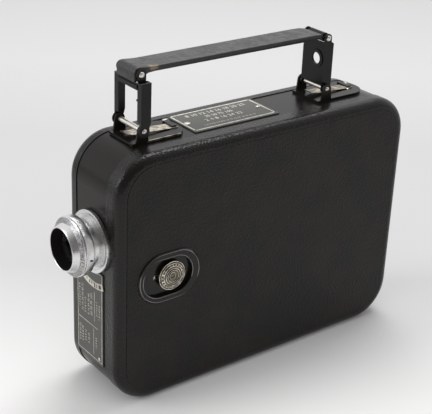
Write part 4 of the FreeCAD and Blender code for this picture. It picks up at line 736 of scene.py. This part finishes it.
# Grip: one rolled and covered strip, drawn from the top pin and from its rear end
pin = joint_place("grip_pivot")
grip_high = span("handle_grip")[1]
grip_centre = centre_of("handle_grip")
grip_half = half_of("handle_grip")[0]
GRIP_TOP = pin[2] + 2.4
GRIP_UNDER = GRIP_TOP - 2.3
NOSE = grip_high[2] - pin[2]
NOSE_STEPS = 15
NOSE_STEP = 6.4
END_LENGTH = 4.4
END_NARROWS = 0.9
profile = []
for k in range(NOSE_STEPS):
    angle = math.radians(180 - k * NOSE_STEP)
    profile.append((pin[1] + NOSE * math.cos(angle), pin[2] + NOSE * math.sin(angle)))
rear = grip_high[1]
profile += [
    (pin[1] + 3.5, GRIP_TOP + 0.18), (pin[1] + 7.0, GRIP_TOP), (rear - 9.0, GRIP_TOP),
    (rear - 4.0, GRIP_TOP - 0.12), (rear - 1.0, GRIP_TOP - 0.5), (rear, GRIP_TOP - 1.2),
    (rear - 0.1, GRIP_UNDER), (rear - 5.0, GRIP_UNDER + 0.1), (pin[1] + 7.5, GRIP_UNDER),
    (pin[1] + 4.5, GRIP_UNDER - 0.2), (pin[1] + 2.4, pin[2] - 0.9), (pin[1] + 1.3, pin[2] - 2.2),
    (pin[1] - 0.4, pin[2] - 2.75), (pin[1] - 1.9, pin[2] - 3.2), (pin[1] - 2.6, pin[2] - 3.15),
    (pin[1] - 2.85, pin[2] - 2.8)]
grip_points = []
grip_faces = []
count = len(profile)
for side in (-1, 1):
    for y, z in profile:
        share = max(0.0, (y - (rear - END_LENGTH)) / END_LENGTH)
        grip_points.append((grip_centre[0] + side * (grip_half - END_NARROWS * share * share), y, z))
for k in range(count):
    after = (k + 1) % count
    grip_faces.append((k, after, count + after, count + k))
grip_faces += [tuple(reversed(range(count))), tuple(range(count, 2 * count))]
grip = add_mesh("grip_cover", grip_points, grip_faces, GRIP, "grip")
outward(grip)
shade_by_angle(grip, 40)
add_bevel(grip, 0.35, 3, 50.0)
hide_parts("handle_grip")
wear(GRIP, (grip_high[0], pin[1] + 6.5, GRIP_TOP), 5.0, (0.20, 0.15, 0.09), 700.0)
for material, node in ((SPRING_FRONT, "front_leaf_spring"), (SPRING_REAR, "rear_leaf_spring")):
    low, high = span(node)
    wear(material, (centre_of(node)[0], low[1], high[2]), 9.0, (0.10, 0.065, 0.04), 420.0)

# Painted highlights on the shoulders of the finder frame and along the near edge of its foot
post_low, post_high = span("front_post")
SHOULDER = pin[2] - 3.2
SHOULDER_WIDE = 0.8
LEG_FRONT = 1.6
LEG_REAR = 3.4
for name, x in (("shoulder_highlight_near", post_high[0] - SHOULDER_WIDE), ("shoulder_highlight_far", post_low[0])):
    add_box(name, (x, pin[1] - LEG_FRONT, SHOULDER - 0.1),
            (x + SHOULDER_WIDE, pin[1] + LEG_REAR, SHOULDER + 0.08), SHOULDER_HIGHLIGHT, "finder_frame")
# Strip along the near edge of the front foot, a painted highlight
add_box("bracket_edge_highlight", (foot_high[0] - 0.5, foot_low[1] + 7.5, TOP + 0.02),
        (foot_high[0] + 0.06, foot_end - 4.5, FOOT_TOP + 0.06), EDGE_HIGHLIGHT, "case")

# Beads round the latch plate and its pan
BEAD_THICK = 0.55
BEAD_LIFT = 0.25
PAN_STRAIGHT = 3.9
PAN_RADIUS = 8.9
PAN_SHIFT = 0.9
bezel_top = span("latch_bezel")[1][0]


def bead(name, centre_y, straight, radius):
    """A rounded bead along a slot outline."""
    x = bezel_top - 0.05
    middle = radius - BEAD_THICK / 2
    inner = radius - BEAD_THICK
    points = []
    for r, level in ((radius, x), (middle, x + BEAD_LIFT), (inner, x)):
        points += [(level, y, z) for y, z in rounded_outline(r + straight, r, r, centre_y, bezel[2])]
    count = len(points) // 3
    faces = []
    for k in range(count):
        after = (k + 1) % count
        for level in range(3):
            nearer = level * count
            farther = (level + 1) % 3 * count
            faces.append((nearer + k, nearer + after, farther + after, farther + k))
    piece = add_mesh(name, points, faces, BEAD, "door")
    outward(piece)
    shade_by_angle(piece, 80)


bead("bezel_bead_outer", bezel[1], bezel_half[1] - bezel_half[2], bezel_half[2] - 0.45)
bead("bezel_bead_inner", bezel[1] - PAN_SHIFT, PAN_STRAIGHT, PAN_RADIUS + 0.6)

# Latch knob with rings and a notched crown, in steps down from its top
KNOB_BASE = span("latch_knob")[0][0]
KNOB_TOP = span("latch_knob")[1][0]
knob_centre = centre_of("latch_knob")
KNOB_PLACE = (0, knob_centre[1], knob_centre[2])
KNOB_RADIUS = half_of("latch_knob")[1]
SCREW_RADIUS = 1.0
knob = turned("knob_turned", [
    (KNOB_BASE, SCREW_RADIUS), (KNOB_BASE, KNOB_RADIUS - 0.05), (KNOB_TOP - 1.15, KNOB_RADIUS - 0.05),
    (KNOB_TOP - 0.95, KNOB_RADIUS - 0.25), (KNOB_TOP - 0.95, 5.9), (KNOB_TOP - 0.8, 5.7),
    (KNOB_TOP - 0.45, 4.9), (KNOB_TOP - 0.35, 2.6), (KNOB_TOP - 0.6, 2.1), (KNOB_TOP - 0.6, SCREW_RADIUS)],
    KNOB_PLACE, "X", KNOB, "latch")
shade_by_angle(knob, 40)
cap = turned("knob_middle", [
    (KNOB_BASE, 0.001), (KNOB_BASE, SCREW_RADIUS), (KNOB_TOP - 0.6, SCREW_RADIUS), (KNOB_TOP - 0.45, 0.6),
    (KNOB_TOP - 0.4, 0.001)], KNOB_PLACE, "X", KNOB, "latch", count=32)
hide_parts("latch_knob")
RIDGES = (
    (KNOB_RADIUS - 0.2, 0.4, 1.0), (5.75, 0.35, 0.75), (4.75, 0.5, 0.3), (3.75, 0.4, 0.2),
    (2.8, 0.3, 0.2), (1.6, 0.3, 0.6))
for index, (radius, wide, below) in enumerate(RIDGES):
    x = KNOB_TOP - below
    ring = turned("knob_ridge_%d" % index, [
        (x - 0.3, radius - wide / 2), (x + 0.2, radius - wide / 4), (x + 0.2, radius + wide / 4),
        (x - 0.3, radius + wide / 2)], KNOB_PLACE, "X", RIDGE_METAL, "latch", count=64)
    shade_by_angle(ring, 60)
NOTCH_COUNT = 20
NOTCH_HALF = 0.26
notch_points = []
notch_faces = []
for index in range(NOTCH_COUNT):
    turn = 2 * math.pi * index / NOTCH_COUNT
    start = len(notch_points)
    for radius, x in ((4.95, KNOB_TOP - 0.3), (5.7, KNOB_TOP - 0.7)):
        for side in (-NOTCH_HALF, NOTCH_HALF):
            y = KNOB_PLACE[1] + radius * math.cos(turn) - side * math.sin(turn)
            z = KNOB_PLACE[2] + radius * math.sin(turn) + side * math.cos(turn)
            notch_points += [(x - 0.2, y, z), (x + 0.12, y, z)]
    for quad in ((1, 5, 7, 3), (0, 1, 3, 2), (4, 6, 7, 5), (0, 4, 5, 1), (2, 3, 7, 6), (0, 2, 6, 4)):
        notch_faces.append(tuple(start + k for k in quad))
notches = add_mesh("knob_notches", notch_points, notch_faces, RIDGE_METAL, "latch")
outward(notches)

# Dot on the bolt's plate, beside the knob
BOLT_PLATE = span("latch_bolt")[0][0] + 1.0
dot = turned("latch_dot", [
    (BOLT_PLATE - 0.05, 0.001), (BOLT_PLATE - 0.05, 0.65), (BOLT_PLATE + 0.12, 0.58),
    (BOLT_PLATE + 0.24, 0.001)], (0, KNOB_PLACE[1] - 7.25, KNOB_PLACE[2] + 0.1), "X", PIN, "latch", count=20)

# Floor, paler in front of the case than behind it: painted light lifts the case's shadow in front, painted shade
# darkens the open floor behind
FLOOR_HALF = 6.0
floor_corners = [
    (-FLOOR_HALF, -FLOOR_HALF, 0), (FLOOR_HALF, -FLOOR_HALF, 0), (FLOOR_HALF, FLOOR_HALF, 0),
    (-FLOOR_HALF, FLOOR_HALF, 0)]
floor_mesh = bpy.data.meshes.new("floor")
floor_mesh.from_pydata(floor_corners, [], [(0, 1, 2, 3)])
floor = bpy.data.objects.new("floor", floor_mesh)
bpy.context.scene.collection.objects.link(floor)
FLOOR = make_material("floor_pale", (0.80, 0.80, 0.795), 0.9, ior=1.05)
floor_mesh.materials.append(FLOOR)
tree = FLOOR.node_tree
place = tree.nodes.new("ShaderNodeTexCoord")
ahead = tree.nodes.new("ShaderNodeVectorMath")
ahead.operation = "DOT_PRODUCT"
ahead.inputs[1].default_value = (0.79, -0.61, 0.0)
reach = tree.nodes.new("ShaderNodeMapRange")
reach.inputs["From Min"].default_value = -0.5
reach.inputs["From Max"].default_value = 0.1
ramp = tree.nodes.new("ShaderNodeValToRGB")
ramp.color_ramp.elements[0].position = 0.12
ramp.color_ramp.elements[0].color = (0.66, 0.66, 0.66, 1.0)
ramp.color_ramp.elements[1].position = 0.94
ramp.color_ramp.elements[1].color = (0.87, 0.865, 0.86, 1.0)
for position, level in ((0.40, 0.60), (0.72, 0.62)):
    stop = ramp.color_ramp.elements.new(position)
    stop.color = (level, level, level, 1.0)
tree.links.new(place.outputs["Object"], ahead.inputs[0])
tree.links.new(ahead.outputs["Value"], reach.inputs["Value"])
tree.links.new(reach.outputs["Result"], ramp.inputs["Fac"])
tree.links.new(ramp.outputs["Color"], tree.nodes["Principled BSDF"].inputs["Base Color"])

# World: white to the eye and through glass, a shaded room in metal, soft light on the rest
world = bpy.data.worlds.new("room")
bpy.context.scene.world = world
world.use_nodes = True
tree = world.node_tree
tree.nodes.clear()
path = tree.nodes.new("ShaderNodeLightPath")
seen = tree.nodes.new("ShaderNodeBackground")
seen.inputs["Color"].default_value = (1.0, 1.0, 1.0, 1.0)
seen.inputs["Strength"].default_value = 1.0
soft = tree.nodes.new("ShaderNodeBackground")
soft.inputs["Color"].default_value = (1.0, 1.0, 1.0, 1.0)
soft.inputs["Strength"].default_value = 0.66
room = tree.nodes.new("ShaderNodeBackground")
room.inputs["Strength"].default_value = 1.0
direction = tree.nodes.new("ShaderNodeTexCoord")
toward = tree.nodes.new("ShaderNodeVectorMath")
toward.operation = "DOT_PRODUCT"
toward.inputs[1].default_value = (0.80, -0.60, 0.0)
shade = tree.nodes.new("ShaderNodeValToRGB")
shade.color_ramp.elements[0].position = 0.35
shade.color_ramp.elements[1].position = 0.80
shade.color_ramp.elements[0].color = (1.0, 1.0, 1.0, 1.0)
shade.color_ramp.elements[1].color = (0.16, 0.15, 0.14, 1.0)
half = tree.nodes.new("ShaderNodeMath")
half.operation = "MULTIPLY_ADD"
half.inputs[1].default_value = 0.5
half.inputs[2].default_value = 0.5
glossy = tree.nodes.new("ShaderNodeMixShader")
mix = tree.nodes.new("ShaderNodeMixShader")
out = tree.nodes.new("ShaderNodeOutputWorld")
either = tree.nodes.new("ShaderNodeMath")
either.operation = "MAXIMUM"
tree.links.new(direction.outputs["Generated"], toward.inputs[0])
tree.links.new(toward.outputs["Value"], half.inputs[0])
tree.links.new(half.outputs["Value"], shade.inputs["Fac"])
tree.links.new(shade.outputs["Color"], room.inputs["Color"])
tree.links.new(path.outputs["Is Glossy Ray"], glossy.inputs[0])
tree.links.new(soft.outputs[0], glossy.inputs[1])
tree.links.new(room.outputs[0], glossy.inputs[2])
tree.links.new(path.outputs["Is Camera Ray"], either.inputs[0])
tree.links.new(path.outputs["Is Transmission Ray"], either.inputs[1])
tree.links.new(either.outputs[0], mix.inputs[0])
tree.links.new(glossy.outputs[0], mix.inputs[1])
tree.links.new(seen.outputs[0], mix.inputs[2])
tree.links.new(mix.outputs[0], out.inputs[0])


def add_lamp(name, place, target, size, power):
    """A soft square lamp aimed at a point."""
    data = bpy.data.lights.new(name, "AREA")
    data.shape = "SQUARE"
    data.size = size
    data.energy = power
    lamp = bpy.data.objects.new(name, data)
    lamp.location = place
    lamp.rotation_euler = (Vector(place) - Vector(target)).to_track_quat("Z", "Y").to_euler()
    bpy.context.scene.collection.objects.link(lamp)


add_lamp("top_soft", (-0.2, 0.3, 1.0), (0, 0, 0.05), 0.6, 6.0)
add_lamp("left_soft", (-0.5, -1.1, 0.6), (0, 0, 0.08), 0.7, 5.0)

# Camera: turned about a point at half the case's height, in millimetres
AZIMUTH = math.radians(52.10)
ELEVATION = math.radians(25.06)
ROLL = math.radians(2.46)
DISTANCE = 542.26
SHIFT = -12.27
RAISE = 10.88
AIM_HEIGHT = 59.7
FOCAL_PIXELS = 1139.6
PICTURE_WIDTH = 432
SENSOR = 36.0
level = math.cos(ELEVATION)
back = Vector((math.sin(AZIMUTH) * level, -math.cos(AZIMUTH) * level, math.sin(ELEVATION)))
right = (-back).cross(Vector((0, 0, 1))).normalized()
up = right.cross(-back)
right_rolled = right * math.cos(ROLL) + up * math.sin(ROLL)
up_rolled = up * math.cos(ROLL) - right * math.sin(ROLL)
aim = Vector((0, 0, AIM_HEIGHT * MM))
place = (back * DISTANCE + right_rolled * SHIFT + up_rolled * RAISE) * MM + aim
camera_data = bpy.data.cameras.new("camera")
camera_data.sensor_width = SENSOR
camera_data.lens = FOCAL_PIXELS / PICTURE_WIDTH * SENSOR
camera_data.clip_start = 0.01
camera = bpy.data.objects.new("camera", camera_data)
rotation = Matrix((right_rolled, up_rolled, back)).transposed()
camera.matrix_world = Matrix.Translation(place) @ rotation.to_4x4()
bpy.context.scene.collection.objects.link(camera)
bpy.context.scene.camera = camera
bpy.context.scene.view_settings.view_transform = "Standard"
